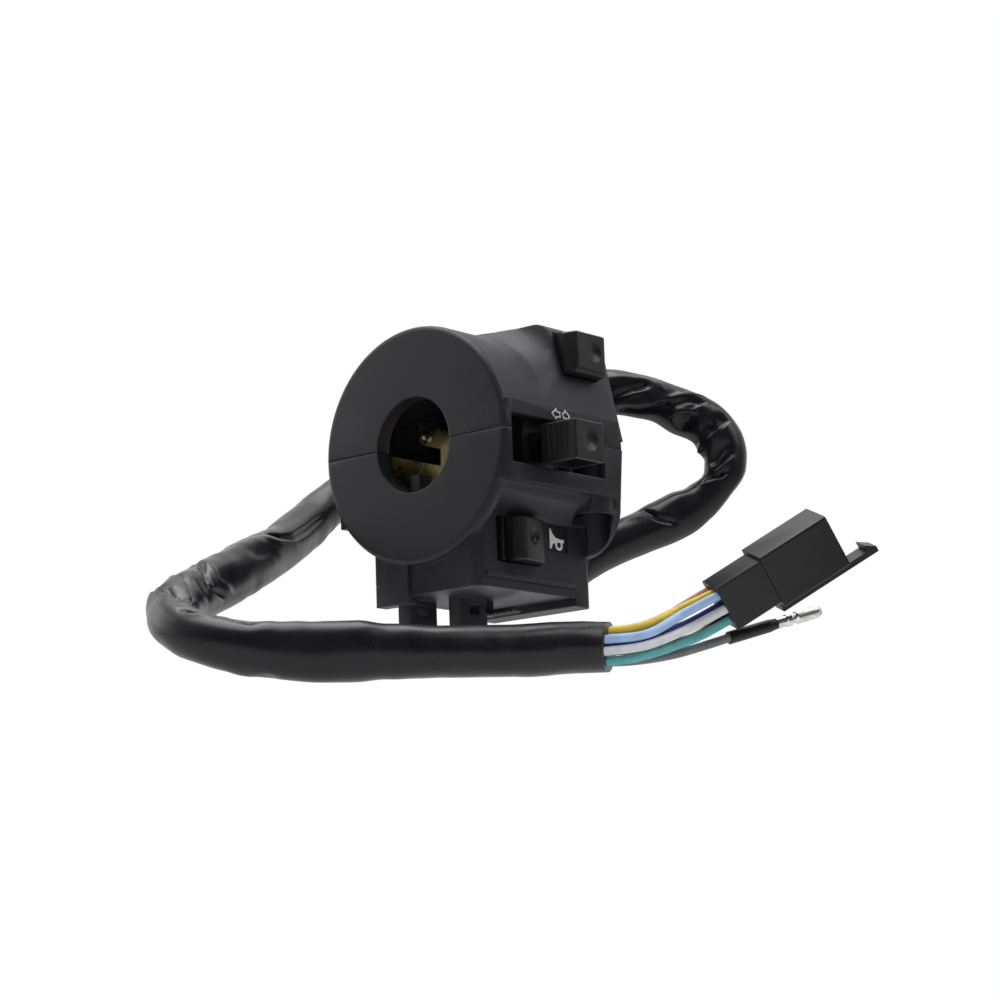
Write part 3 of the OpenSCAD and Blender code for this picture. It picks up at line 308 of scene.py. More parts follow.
# Nodes of the model by the material slot of each
SLOT_NODES = {
    "housing_plastic": ("upper_shell", "lower_shell", "bottom_cover"),
    "control_plastic": ("turn_knob", "turn_carriage", "dip_button", "horn_button", "horn_plate"),
    "switch_plastic": ("dip_stem",),
    "strap_nylon": ("tie_strap",),
    "connector_nylon": ("connector_housing",),
    "boot_vinyl": ("bullet_boot",),
    "sleeve_vinyl": ("cable_grommet",),
    "board": ("turn_board", "dip_block", "horn_base"),
    "plated_steel": ("bar_saddle", "earth_tab", "turn_bracket", "cable_clip"),
    "screw_steel": ("clamp_screws", "earth_rivet", "clip_screw"),
    "spring_steel": ("turn_detent_ball", "turn_detent_spring", "dip_spring", "horn_spring"),
    "contact_brass": (
        "turn_wiper", "turn_rails", "dip_contacts", "dip_bridge", "horn_contact", "horn_leaf",
        "connector_terminals"),
    "bullet_tin": ("bullet_terminal",),
}
NODE_SLOTS = {node: slot for slot, nodes in SLOT_NODES.items() for node in nodes}


def size_prop(label, text, value):
    return bpy.props.FloatProperty(
        name=label, description=text, default=value, min=0.0, unit="LENGTH", precision=5
    )


def colour_prop(label, text, value):
    return bpy.props.FloatVectorProperty(
        name=label, description=text, default=value, size=3, min=0.0, max=1.0, subtype="COLOR"
    )


class ClusterSizes(bpy.types.PropertyGroup):
    shell_edge: size_prop("Shell edge", "Rounding on the edges of the two half shells", 0.0006)
    cover_edge: size_prop("Cover edge", "Rounding on the edges of the bottom cover", 0.0003)
    control_edge: size_prop("Control edge", "Rounding on the knob and the two buttons", 0.0004)
    connector_edge: size_prop("Connector edge", "Rounding on the connector's edges", 0.0003)
    sleeve_diameter: size_prop("Sleeve diameter", "Outside diameter of the harness sleeve", 0.0108)
    sleeve_wall: size_prop("Sleeve wall", "Thickness of the vinyl at the cut end", 0.0007)
    wire_diameter: size_prop("Wire diameter", "Outside diameter of each insulated wire", 0.00202)
    sign_height: size_prop("Sign height", "How far the printed signs stand off the plastic", 0.00008)
    fold_share: bpy.props.FloatProperty(
        name="Fold share", description="Share of the full depth that the folds have", default=1.0,
        min=0.0, max=1.5, subtype="FACTOR"
    )


class ClusterColours(bpy.types.PropertyGroup):
    housing: colour_prop("Housing", "Grained black of the shells and the cover", (0.0185, 0.018, 0.0235))
    control: colour_prop("Controls", "Smoother black of the knob and the buttons", (0.015, 0.0148, 0.0168))
    sleeve: colour_prop("Sleeve", "Black of the soft vinyl sleeve", (0.009, 0.009, 0.0112))
    connector: colour_prop("Connector", "Black nylon of the connector", (0.0105, 0.0105, 0.0125))
    sign: colour_prop("Signs", "White ink of the turn and horn signs", (0.82, 0.82, 0.82))
    plated: colour_prop("Plated steel", "Yellow zinc plating in the bore", (0.78, 0.66, 0.3))
    yellow: colour_prop("Yellow wire", "Insulation of the yellow wire", (0.8, 0.58, 0.07))
    light_blue: colour_prop("Light blue wire", "Insulation of the light blue wire", (0.38, 0.56, 0.86))
    white: colour_prop("White wire", "Insulation of the white wire", (0.78, 0.79, 0.8))
    teal: colour_prop("Teal wire", "Insulation of the teal wire", (0.13, 0.48, 0.5))
    dark_blue: colour_prop("Dark blue wire", "Insulation of the dark blue wire", (0.035, 0.05, 0.32))
    brown: colour_prop("Brown wire", "Insulation of the orange-brown wire", (0.52, 0.17, 0.06))
    black: colour_prop("Black wire", "Insulation of the black wire", (0.012, 0.012, 0.013))
    grey: colour_prop("Grey wire", "Insulation of the grey wire", (0.2, 0.2, 0.21))


def sizes():
    return bpy.context.scene.cluster_sizes


def colours():
    return bpy.context.scene.cluster_colours


# Shader groups that several finishes share

def new_group(name, inputs, outputs):
    group = bpy.data.node_groups.new(name, "ShaderNodeTree")
    for label, kind, value in inputs:
        socket = group.interface.new_socket(label, in_out="INPUT", socket_type=kind)
        if value is not None:
            socket.default_value = value
    for label in outputs:
        group.interface.new_socket(label, in_out="OUTPUT", socket_type="NodeSocketFloat")
    return group, group.nodes.new("NodeGroupInput"), group.nodes.new("NodeGroupOutput")


def put(tree, kind, links=(), **values):
    made = tree.nodes.new(kind)
    for key, value in values.items():
        setattr(made, key, value)
    for socket, source in links:
        if hasattr(source, "is_output"):
            tree.links.new(source, made.inputs[socket])
        else:
            made.inputs[socket].default_value = source
    return made


def mould_grain():
    """Fine spark grain with broad, faint clouding, as on a moulded shell."""
    name = "Mould grain"
    if name in bpy.data.node_groups:
        return bpy.data.node_groups[name]
    group, ins, outs = new_group(
        name,
        (("Vector", "NodeSocketVector", None), ("Grain", "NodeSocketFloat", 3200.0),
         ("Cloud", "NodeSocketFloat", 90.0)),
        ("Height", "Clouding"),
    )
    place = ins.outputs["Vector"]
    fine = put(group, "ShaderNodeTexNoise", (
        ("Vector", place), ("Scale", ins.outputs["Grain"]), ("Detail", 2.0), ("Roughness", 0.6)))
    broad = put(group, "ShaderNodeTexNoise", (
        ("Vector", place), ("Scale", ins.outputs["Cloud"]), ("Detail", 3.0), ("Roughness", 0.55)))
    group.links.new(fine.outputs["Fac"], outs.inputs["Height"])
    group.links.new(broad.outputs["Fac"], outs.inputs["Clouding"])
    return group


def dust_specks():
    """A few tiny pale specks of dust, thinned out cell by cell."""
    name = "Dust specks"
    if name in bpy.data.node_groups:
        return bpy.data.node_groups[name]
    group, ins, outs = new_group(
        name,
        (("Vector", "NodeSocketVector", None), ("Cells", "NodeSocketFloat", 260.0),
         ("Size", "NodeSocketFloat", 0.06), ("Share", "NodeSocketFloat", 0.2)),
        ("Mask",),
    )
    cells = put(group, "ShaderNodeTexVoronoi", (
        ("Vector", ins.outputs["Vector"]), ("Scale", ins.outputs["Cells"]), ("Randomness", 1.0)))
    near = put(group, "ShaderNodeMath", (
        (0, cells.outputs["Distance"]), (1, ins.outputs["Size"])), operation="LESS_THAN")
    tint = put(group, "ShaderNodeSeparateColor", (("Color", cells.outputs["Color"]),))
    kept = put(group, "ShaderNodeMath", (
        (0, tint.outputs["Red"]), (1, ins.outputs["Share"])), operation="LESS_THAN")
    mask = put(group, "ShaderNodeMath", ((0, near.outputs[0]), (1, kept.outputs[0])), operation="MULTIPLY")
    group.links.new(mask.outputs[0], outs.inputs["Mask"])
    return group


def drawn_streaks():
    """Streaks along one direction, for plated and drawn metal and for scuffs on vinyl."""
    name = "Drawn streaks"
    if name in bpy.data.node_groups:
        return bpy.data.node_groups[name]
    group, ins, outs = new_group(
        name,
        (("Vector", "NodeSocketVector", None), ("Stretch", "NodeSocketVector", (120.0, 2600.0, 2600.0)),
         ("Cloud", "NodeSocketFloat", 160.0)),
        ("Streak", "Stain"),
    )
    turned = put(group, "ShaderNodeVectorMath", (
        (0, ins.outputs["Vector"]), (1, ins.outputs["Stretch"])), operation="MULTIPLY")
    streak = put(group, "ShaderNodeTexNoise", (
        ("Vector", turned.outputs[0]), ("Scale", 1.0), ("Detail", 3.0), ("Roughness", 0.6)))
    stain = put(group, "ShaderNodeTexNoise", (
        ("Vector", ins.outputs["Vector"]), ("Scale", ins.outputs["Cloud"]), ("Detail", 4.0)))
    group.links.new(streak.outputs["Fac"], outs.inputs["Streak"])
    group.links.new(stain.outputs["Fac"], outs.inputs["Stain"])
    return group


def shaded(colour, factor):
    return tuple(min(1.0, channel * factor) for channel in colour) + (1.0,)


def start_finish(name):
    made = bpy.data.materials.new(name)
    made.use_nodes = True
    tree = made.node_tree
    surface = tree.nodes["Principled BSDF"]
    place = put(tree, "ShaderNodeTexCoord")
    return made, tree, surface, place.outputs["Object"]


def placed(tree, group, links):
    return put(tree, "ShaderNodeGroup", links, node_tree=group)


def blended(tree, factor, first, second):
    """One colour over another; the Mix node's colours are its sockets 6 and 7, and its output 2."""
    made = put(tree, "ShaderNodeMix", (("Factor", factor), (6, first), (7, second)), data_type="RGBA")
    return made.outputs[2]


def spread(tree, source, low, high, start=0.3, stop=0.7):
    made = put(tree, "ShaderNodeMapRange", (
        ("Value", source), ("From Min", start), ("From Max", stop), ("To Min", low), ("To Max", high)))
    return made.outputs["Result"]


def bumped(tree, surface, height, strength, distance):
    made = put(tree, "ShaderNodeBump", (("Height", height), ("Strength", strength), ("Distance", distance)))
    tree.links.new(made.outputs["Normal"], surface.inputs["Normal"])
    return made


def moulded_plastic(name, colour, rough, grain, depth, strength, gloss, dust, edge):
    """Moulded plastic: spark grain, faint clouding and a few dust specks."""
    if name in bpy.data.materials:
        return bpy.data.materials[name]
    made, tree, surface, place = start_finish(name)
    skin = placed(tree, mould_grain(), (("Vector", place), ("Grain", grain), ("Cloud", 110.0)))
    specks = placed(tree, dust_specks(), (
        ("Vector", place), ("Cells", 230.0), ("Size", 0.035), ("Share", dust)))
    clouded = blended(
        tree, spread(tree, skin.outputs["Clouding"], 0.0, 1.0), shaded(colour, 0.86), shaded(colour, 1.16))
    dusted = blended(tree, specks.outputs["Mask"], clouded, (0.32, 0.32, 0.33, 1.0))
    tree.links.new(dusted, surface.inputs["Base Color"])
    tree.links.new(
        spread(tree, skin.outputs["Clouding"], rough - 0.06, rough + 0.06), surface.inputs["Roughness"])
    surface.inputs["Specular IOR Level"].default_value = gloss
    bump = bumped(tree, surface, skin.outputs["Height"], strength, depth)
    if edge:
        soft = put(tree, "ShaderNodeBevel", (("Radius", edge),), samples=6)
        tree.links.new(soft.outputs["Normal"], bump.inputs["Normal"])
    return made


def sleeve_vinyl():
    """Soft glossy vinyl with a faint haze, fine pull lines and a few scuffs."""
    name = "Sleeve vinyl"
    if name in bpy.data.materials:
        return bpy.data.materials[name]
    made, tree, surface, place = start_finish(name)
    colour = tuple(colours().sleeve)
    skin = placed(tree, mould_grain(), (("Vector", place), ("Grain", 1700.0), ("Cloud", 140.0)))
    specks = placed(tree, dust_specks(), (
        ("Vector", place), ("Cells", 210.0), ("Size", 0.04), ("Share", 0.2)))
    pull = placed(tree, drawn_streaks(), (
        ("Vector", place), ("Stretch", (90.0, 90.0, 1500.0)), ("Cloud", 70.0)))
    hazed = blended(
        tree, spread(tree, skin.outputs["Clouding"], 0.0, 1.0), shaded(colour, 0.8), shaded(colour, 1.35))
    scuffed = blended(
        tree, spread(tree, pull.outputs["Streak"], 0.0, 0.5, 0.74, 0.8), hazed, (0.09, 0.09, 0.095, 1.0))
    dusted = blended(tree, specks.outputs["Mask"], scuffed, (0.3, 0.3, 0.31, 1.0))
    tree.links.new(dusted, surface.inputs["Base Color"])
    tree.links.new(spread(tree, pull.outputs["Stain"], 0.24, 0.36), surface.inputs["Roughness"])
    surface.inputs["Specular IOR Level"].default_value = 0.32
    bumped(tree, surface, skin.outputs["Height"], 0.25, 0.00003)
    return made


def plated_metal(name, colour, rough, stretch):
    """Plated or drawn metal with streaks and uneven staining."""
    if name in bpy.data.materials:
        return bpy.data.materials[name]
    made, tree, surface, place = start_finish(name)
    drawn = placed(tree, drawn_streaks(), (("Vector", place), ("Stretch", stretch), ("Cloud", 220.0)))
    streaked = blended(
        tree, spread(tree, drawn.outputs["Streak"], 0.0, 1.0), shaded(colour, 0.72), shaded(colour, 1.12))
    stained = blended(
        tree, spread(tree, drawn.outputs["Stain"], 0.0, 0.6, 0.5, 0.8), streaked, shaded(colour, 0.5))
    tree.links.new(stained, surface.inputs["Base Color"])
    tree.links.new(
        spread(tree, drawn.outputs["Stain"], rough - 0.08, rough + 0.12), surface.inputs["Roughness"])
    surface.inputs["Metallic"].default_value = 1.0
    bumped(tree, surface, drawn.outputs["Streak"], 0.2, 0.00002)
    return made


def wire_insulation(name, colour):
    """Extruded insulation: soft gloss, slight drag lines and a little handling dirt."""
    label = "Insulation " + name.replace("_", " ")
    if label in bpy.data.materials:
        return bpy.data.materials[label]
    made, tree, surface, place = start_finish(label)
    drawn = placed(tree, drawn_streaks(), (
        ("Vector", place), ("Stretch", (900.0, 300.0, 2400.0)), ("Cloud", 260.0)))
    toned = blended(
        tree, spread(tree, drawn.outputs["Stain"], 0.0, 1.0), shaded(colour, 0.86), shaded(colour, 1.06))
    tree.links.new(toned, surface.inputs["Base Color"])
    tree.links.new(spread(tree, drawn.outputs["Streak"], 0.32, 0.44), surface.inputs["Roughness"])
    surface.inputs["Specular IOR Level"].default_value = 0.4
    bumped(tree, surface, drawn.outputs["Streak"], 0.15, 0.00002)
    return made


def laminate_board():
    """Brown paper laminate of the contact board."""
    name = "Board laminate"
    if name in bpy.data.materials:
        return bpy.data.materials[name]
    made, tree, surface, place = start_finish(name)
    drawn = placed(tree, drawn_streaks(), (
        ("Vector", place), ("Stretch", (2200.0, 240.0, 2200.0)), ("Cloud", 300.0)))
    toned = blended(
        tree, spread(tree, drawn.outputs["Streak"], 0.0, 1.0), (0.075, 0.036, 0.016, 1.0),
        (0.13, 0.066, 0.03, 1.0))
    tree.links.new(toned, surface.inputs["Base Color"])
    tree.links.new(spread(tree, drawn.outputs["Stain"], 0.5, 0.65), surface.inputs["Roughness"])
    bumped(tree, surface, drawn.outputs["Streak"], 0.2, 0.00002)
    return made


def sign_ink():
    """White pad-printed ink, a little thin in places."""
    name = "Sign ink"
    if name in bpy.data.materials:
        return bpy.data.materials[name]
    made, tree, surface, place = start_finish(name)
    colour = tuple(colours().sign)
    skin = placed(tree, mould_grain(), (("Vector", place), ("Grain", 2600.0), ("Cloud", 900.0)))
    thin = blended(
        tree, spread(tree, skin.outputs["Clouding"], 0.0, 1.0), shaded(colour, 0.82), shaded(colour, 1.05))
    tree.links.new(thin, surface.inputs["Base Color"])
    tree.links.new(spread(tree, skin.outputs["Height"], 0.45, 0.6), surface.inputs["Roughness"])
    bumped(tree, surface, skin.outputs["Height"], 0.2, 0.00002)
    return made


def setting(group, value):
    """A value as it stands, or the setting that it names."""
    return getattr(group, value) if isinstance(value, str) else value


def finish_of(slot):
    """The finish that stands for one material slot of the record."""
    paint = colours()
    label = slot.replace("_", " ").capitalize()
    if slot in MOULDED_FINISHES:
        colour, rough, grain, depth, strength, gloss, dust, edge = MOULDED_FINISHES[slot]
        return moulded_plastic(
            label, tuple(setting(paint, colour)), rough, grain, depth, strength, gloss, dust,
            setting(sizes(), edge))
    if slot in METAL_FINISHES:
        colour, rough, stretch = METAL_FINISHES[slot]
        return plated_metal(label, tuple(setting(paint, colour)), rough, stretch)
    if slot == "board":
        return laminate_board()
    if slot == "sleeve_vinyl":
        return sleeve_vinyl()
    if slot.endswith("_insulation"):
        name = slot[: -len("_insulation")]
        return wire_insulation(name, tuple(getattr(paint, name)))
    raise RuntimeError("no finish for slot " + slot)


# Meshes

def mesh_piece(name, bm, body, slot, smooth_angle=None):
    mesh = bpy.data.meshes.new(name)
    bm.to_mesh(mesh)
    bm.free()
    piece = bpy.data.objects.new(name, mesh)
    bpy.context.scene.collection.objects.link(piece)
    if smooth_angle is not None:
        mesh.shade_smooth()
        mesh.set_sharp_from_angle(angle=math.radians(smooth_angle))
    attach(piece, body)
    if slot:
        mesh.materials.append(finish_of(slot))
    return piece


def merged_copy(node):
    bm = bmesh.new()
    bm.from_mesh(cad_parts[node].data)
    bmesh.ops.remove_doubles(bm, verts=bm.verts, dist=SAME_POINT)
    return bm


def moulded_piece(node, body, edge):
    """A node's own shape with the small roundings that a mould leaves on every edge."""
    piece = mesh_piece(node + "_moulded", merged_copy(node), body, NODE_SLOTS[node], 30.0)
    rounding = piece.modifiers.new("Mould rounding", "BEVEL")
    rounding.width = edge
    rounding.segments = 2
    rounding.profile = 0.5
    rounding.limit_method = "ANGLE"
    rounding.angle_limit = math.radians(SHARP_TURN)
    rounding.use_clamp_overlap = True
    rounding.harden_normals = True
    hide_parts(node)
    return piece


def dimpled(bm, face, place, reach, shift, deepen):
    """Set a control's finger dimple where it is seen, sink it, and fill the flat face round it anew."""
    for vert in bm.verts:
        y = vert.co.y - place[0]
        z = vert.co.z - place[1]
        if face - DIMPLE_DEEPEST < vert.co.x < face + SAME_POINT and math.hypot(y, z) < reach:
            vert.co.x = face - (face - vert.co.x) * deepen
            vert.co.y += shift[0]
            vert.co.z += shift[1]
    bm.normal_update()
    flat = [f for f in bm.faces if f.normal.x > 0.999 and min(v.co.x for v in f.verts) > face - SAME_POINT]
    rim = set()
    for made in flat:
        for edge in made.edges:
            if sum(1 for near in edge.link_faces if near in flat) == 1:
                rim.add(edge)
    bmesh.ops.delete(bm, geom=flat, context="FACES_ONLY")
    loose = [edge for edge in bm.edges if not edge.link_faces and edge not in rim]
    bmesh.ops.delete(bm, geom=loose, context="EDGES")
    bmesh.ops.triangle_fill(bm, use_beauty=True, use_dissolve=False, edges=list(rim), normal=(1, 0, 0))


def rounded_edges(bm, width, chosen):
    """Round the sharp edges that the test chooses."""
    bm.normal_update()
    edges = []
    for made in bm.edges:
        sharp = made.calc_face_angle(0.0) > math.radians(SHARP_TURN)
        if sharp and chosen(made.verts[0].co, made.verts[1].co):
            edges.append(made)
    bmesh.ops.bevel(
        bm, geom=edges, offset=width, offset_type="OFFSET", affect="EDGES", segments=ROUND_STEPS,
        profile=0.5, clamp_overlap=False, material=-1)


def flat_faced(piece):
    """Keep a control's outer face flat in shading up to the rim of its dimple."""
    for polygon in piece.data.polygons:
        if polygon.normal.x > 0.9995:
            polygon.use_smooth = False


def hollowed(bm, low):
    """Open the underside of the turn knob, as a thin-walled moulding."""
    bm.normal_update()
    under = [f for f in bm.faces if f.normal.z < -0.999 and f.calc_center_median().z < low + HAIR]
    bmesh.ops.inset_region(bm, faces=under, thickness=KNOB_WALL, use_even_offset=True, use_boundary=True)
    bmesh.ops.inset_region(
        bm, faces=under, thickness=KNOB_DRAFT, depth=-KNOB_HOLLOW, use_even_offset=True, use_boundary=True)


def rounded_block(bm, low, high, width):
    """A small block with rounded edges, joined into a moulding."""
    size = high - low
    place = Matrix.Translation((low + high) / 2) @ Matrix.Diagonal((size.x, size.y, size.z, 1.0))
    made = bmesh.ops.create_cube(bm, size=1.0, matrix=place)
    edges = list({edge for vert in made["verts"] for edge in vert.link_edges})
    bmesh.ops.bevel(
        bm, geom=edges, offset=width, offset_type="OFFSET", affect="EDGES", segments=3, profile=0.5,
        clamp_overlap=True, material=-1)


def stops(low, high, start, end, count):
    """Places across a face, and how far the rounding of its two ends has fallen at each."""
    made = []
    for k in range(ROUND_STEPS + 1):
        turn = math.radians(90 - 90 * k / ROUND_STEPS)
        made.append((low + start * (1 - math.sin(turn)), start * (1 - math.cos(turn))))
    for k in range(1, count):
        made.append((low + start + (high - end - low - start) * k / count, 0.0))
    for k in range(ROUND_STEPS + 1):
        turn = math.radians(90 * k / ROUND_STEPS)
        made.append((high - end + end * math.sin(turn), end * (1 - math.cos(turn))))
    return made


def horn_head(bm, low, high, back):
    """Head of the horn button: a full round on the grip side, a falling face, a dimple and its stud."""
    rows = stops(low.y, high.y, HORN_GRIP, HORN_EDGE, HORN_STEPS[0])
    columns = stops(low.z, high.z, HORN_EDGE, HORN_EDGE, HORN_STEPS[1])
    across = len(rows) - 1
    up = len(columns) - 1
    middle_y = low.y + HORN_DIMPLE[0]
    middle_z = low.z + HORN_DIMPLE[1]
    face = bmesh.ops.create_grid(bm, x_segments=across, y_segments=up, size=1.0)["verts"]
    for vert in face:
        y, drop = rows[round((vert.co.x + 1) / 2 * across)]
        z, lip = columns[round((vert.co.y + 1) / 2 * up)]
        fall = max(0.0, (y - low.y - HORN_GRIP) / (high.y - low.y - HORN_GRIP))
        away = math.hypot(y - middle_y, z - middle_z) / HORN_DIMPLE_REACH
        dish = HORN_DIMPLE_DEPTH * max(0.0, 1 - away * away) ** HORN_DIMPLE_CURVE
        near = math.hypot(y - middle_y, z - middle_z + HORN_STUD_DROP) / HORN_STUD_REACH
        stud = max(0.0, min(1.0, HORN_STUD_SLOPE * (HORN_STUD_FOOT - near)))
        dish -= min(dish, HORN_STUD_HEIGHT) * stud
        vert.co = (high.x - drop - lip - HORN_FALL * fall ** HORN_FALL_CURVE - dish, y, z)
    rim = [edge for edge in bm.edges if edge.is_boundary]
    sides = bmesh.ops.extrude_edge_only(bm, edges=rim)["geom"]
    for made in sides:
        if isinstance(made, bmesh.types.BMVert):
            made.co.x = back
    foot = [made for made in sides if isinstance(made, bmesh.types.BMEdge) and made.is_boundary]
    bmesh.ops.contextual_create(bm, geom=foot)


def catmull(points, steps):
    """A smooth line through the points, with the given steps between each pair."""
    line = [Vector(p) for p in points]
    made = []
    for i in range(len(line) - 1):
        before = line[max(i - 1, 0)]
        here = line[i]
        there = line[i + 1]
        after = line[min(i + 2, len(line) - 1)]
        for k in range(steps):
            t = k / steps
            made.append((here * 2 + (there - before) * t + (before * 2 - here * 5 + there * 4 - after) * t * t
                         + (here * 3 - before - there * 3 + after) * t * t * t) / 2)
    made.append(line[-1])
    return made


def evenly(points, gap):
    """The same line with points a fixed gap apart, and the length at each."""
    lengths = [0.0]
    for a, b in zip(points, points[1:]):
        lengths.append(lengths[-1] + (b - a).length)
    count = max(2, round(lengths[-1] / gap))
    made = []
    marks = []
    k = 0
    for i in range(count + 1):
        want = lengths[-1] * i / count
        while k < len(points) - 2 and lengths[k + 1] < want:
            k += 1
        share = (want - lengths[k]) / max(1e-9, lengths[k + 1] - lengths[k])
        made.append(points[k].lerp(points[k + 1], share))
        marks.append(want)
    return made, marks


def carried(points):
    """Run, side and top directions carried along a line without twist."""
    runs = []
    for i in range(len(points)):
        a = points[max(i - 1, 0)]
        b = points[min(i + 1, len(points) - 1)]
        runs.append((b - a).normalized())
    side = runs[0].cross(Vector((0, 0, 1))).normalized()
    made = []
    for run in runs:
        side = (side - run * side.dot(run)).normalized()
        made.append((run, side, run.cross(side)))
    return made


def wrapped(angle):
    """An angle brought to within half a turn of zero."""
    return (angle + math.pi) % (2 * math.pi) - math.pi


def side_at(rows, mark):
    """Angle and stand-off of one side of the sleeve at a length along it."""
    for first, second in zip(rows, rows[1:]):
        if mark <= second[0]:
            share = (mark - first[0]) / (second[0] - first[0])
            share = share * share * (3 - 2 * share)
            turn = first[1] + (second[1] - first[1]) * share
            return math.radians(turn), first[2] + (second[2] - first[2]) * share
    return math.radians(rows[-1][1]), rows[-1][2]


def fold_place(row, mark, angle, radius):
    """Place of a point along and across one fold, in the fold's half lengths and half widths."""
    along = mark - row[0]
    across = wrapped(angle - math.radians(row[1])) * radius
    c = math.cos(math.radians(row[4]))
    s = math.sin(math.radians(row[4]))
    return (along * c + across * s) / row[2], (across * c - along * s) / row[3]


def sleeve_lifts(mark, centre, side, top, radius):
    """How far one ring of the sleeve stands off its round form, by its flats, folds and lips."""
    sides = [side_at(rows, mark) for rows in SLEEVE_SIDES]
    folds = [row for row in SLEEVE_FOLDS if abs(mark - row[0]) < FOLD_REACH * max(row[2], row[3])]
    lips = [row for row in SLEEVE_LIPS if abs(mark - row[0]) < LIP_REACH * max(row[2], row[3])]
    made = []
    for k in range(SLEEVE_AROUND):
        angle = 2 * math.pi * k / SLEEVE_AROUND
        point = centre + (side * math.cos(angle) + top * math.sin(angle)) * radius
        lift = sum(height * noise.noise(point * scale) for height, scale in SLEEVE_WAVES)
        for turn, stand in sides:
            lift += stand * max(0.0, math.cos(angle - turn)) ** 2
        for row in folds:
            x, y = fold_place(row, mark, angle, radius)
            lift += row[5] * math.exp(-abs(x) ** 3 - y * y)
        for row in lips:
            x, y = fold_place(row, mark, angle, radius)
            fallen = 0.5 + 0.5 * math.tanh(y / LIP_STEP)
            stand = 0.5 * (1 - fallen) - fallen
            lift += row[5] * math.exp(-abs(x) ** 3 - abs(y) / LIP_WIDTH) * stand
        made.append(max(SLEEVE_LIFTS[0], min(SLEEVE_LIFTS[1], lift)))
    return made


def ring_of(bm, centre, side, top, radii, slant):
    """Edges of one closed ring of the sleeve, set at the given radii and slanted near the cut end."""
    made = bmesh.ops.create_circle(bm, cap_ends=False, segments=len(radii), radius=1.0)["verts"]
    run = side.cross(top)
    for k, vert in enumerate(made):
        angle = 2 * math.pi * k / len(radii)
        out = side * math.cos(angle) + top * math.sin(angle)
        shift = (CUT_MIDDLE - CUT_RISE * out.dot(CUT_FRONT)) * slant
        vert.co = (centre + out * radii[k] + run * shift) * MM
    return list({edge for vert in made for edge in vert.link_edges})


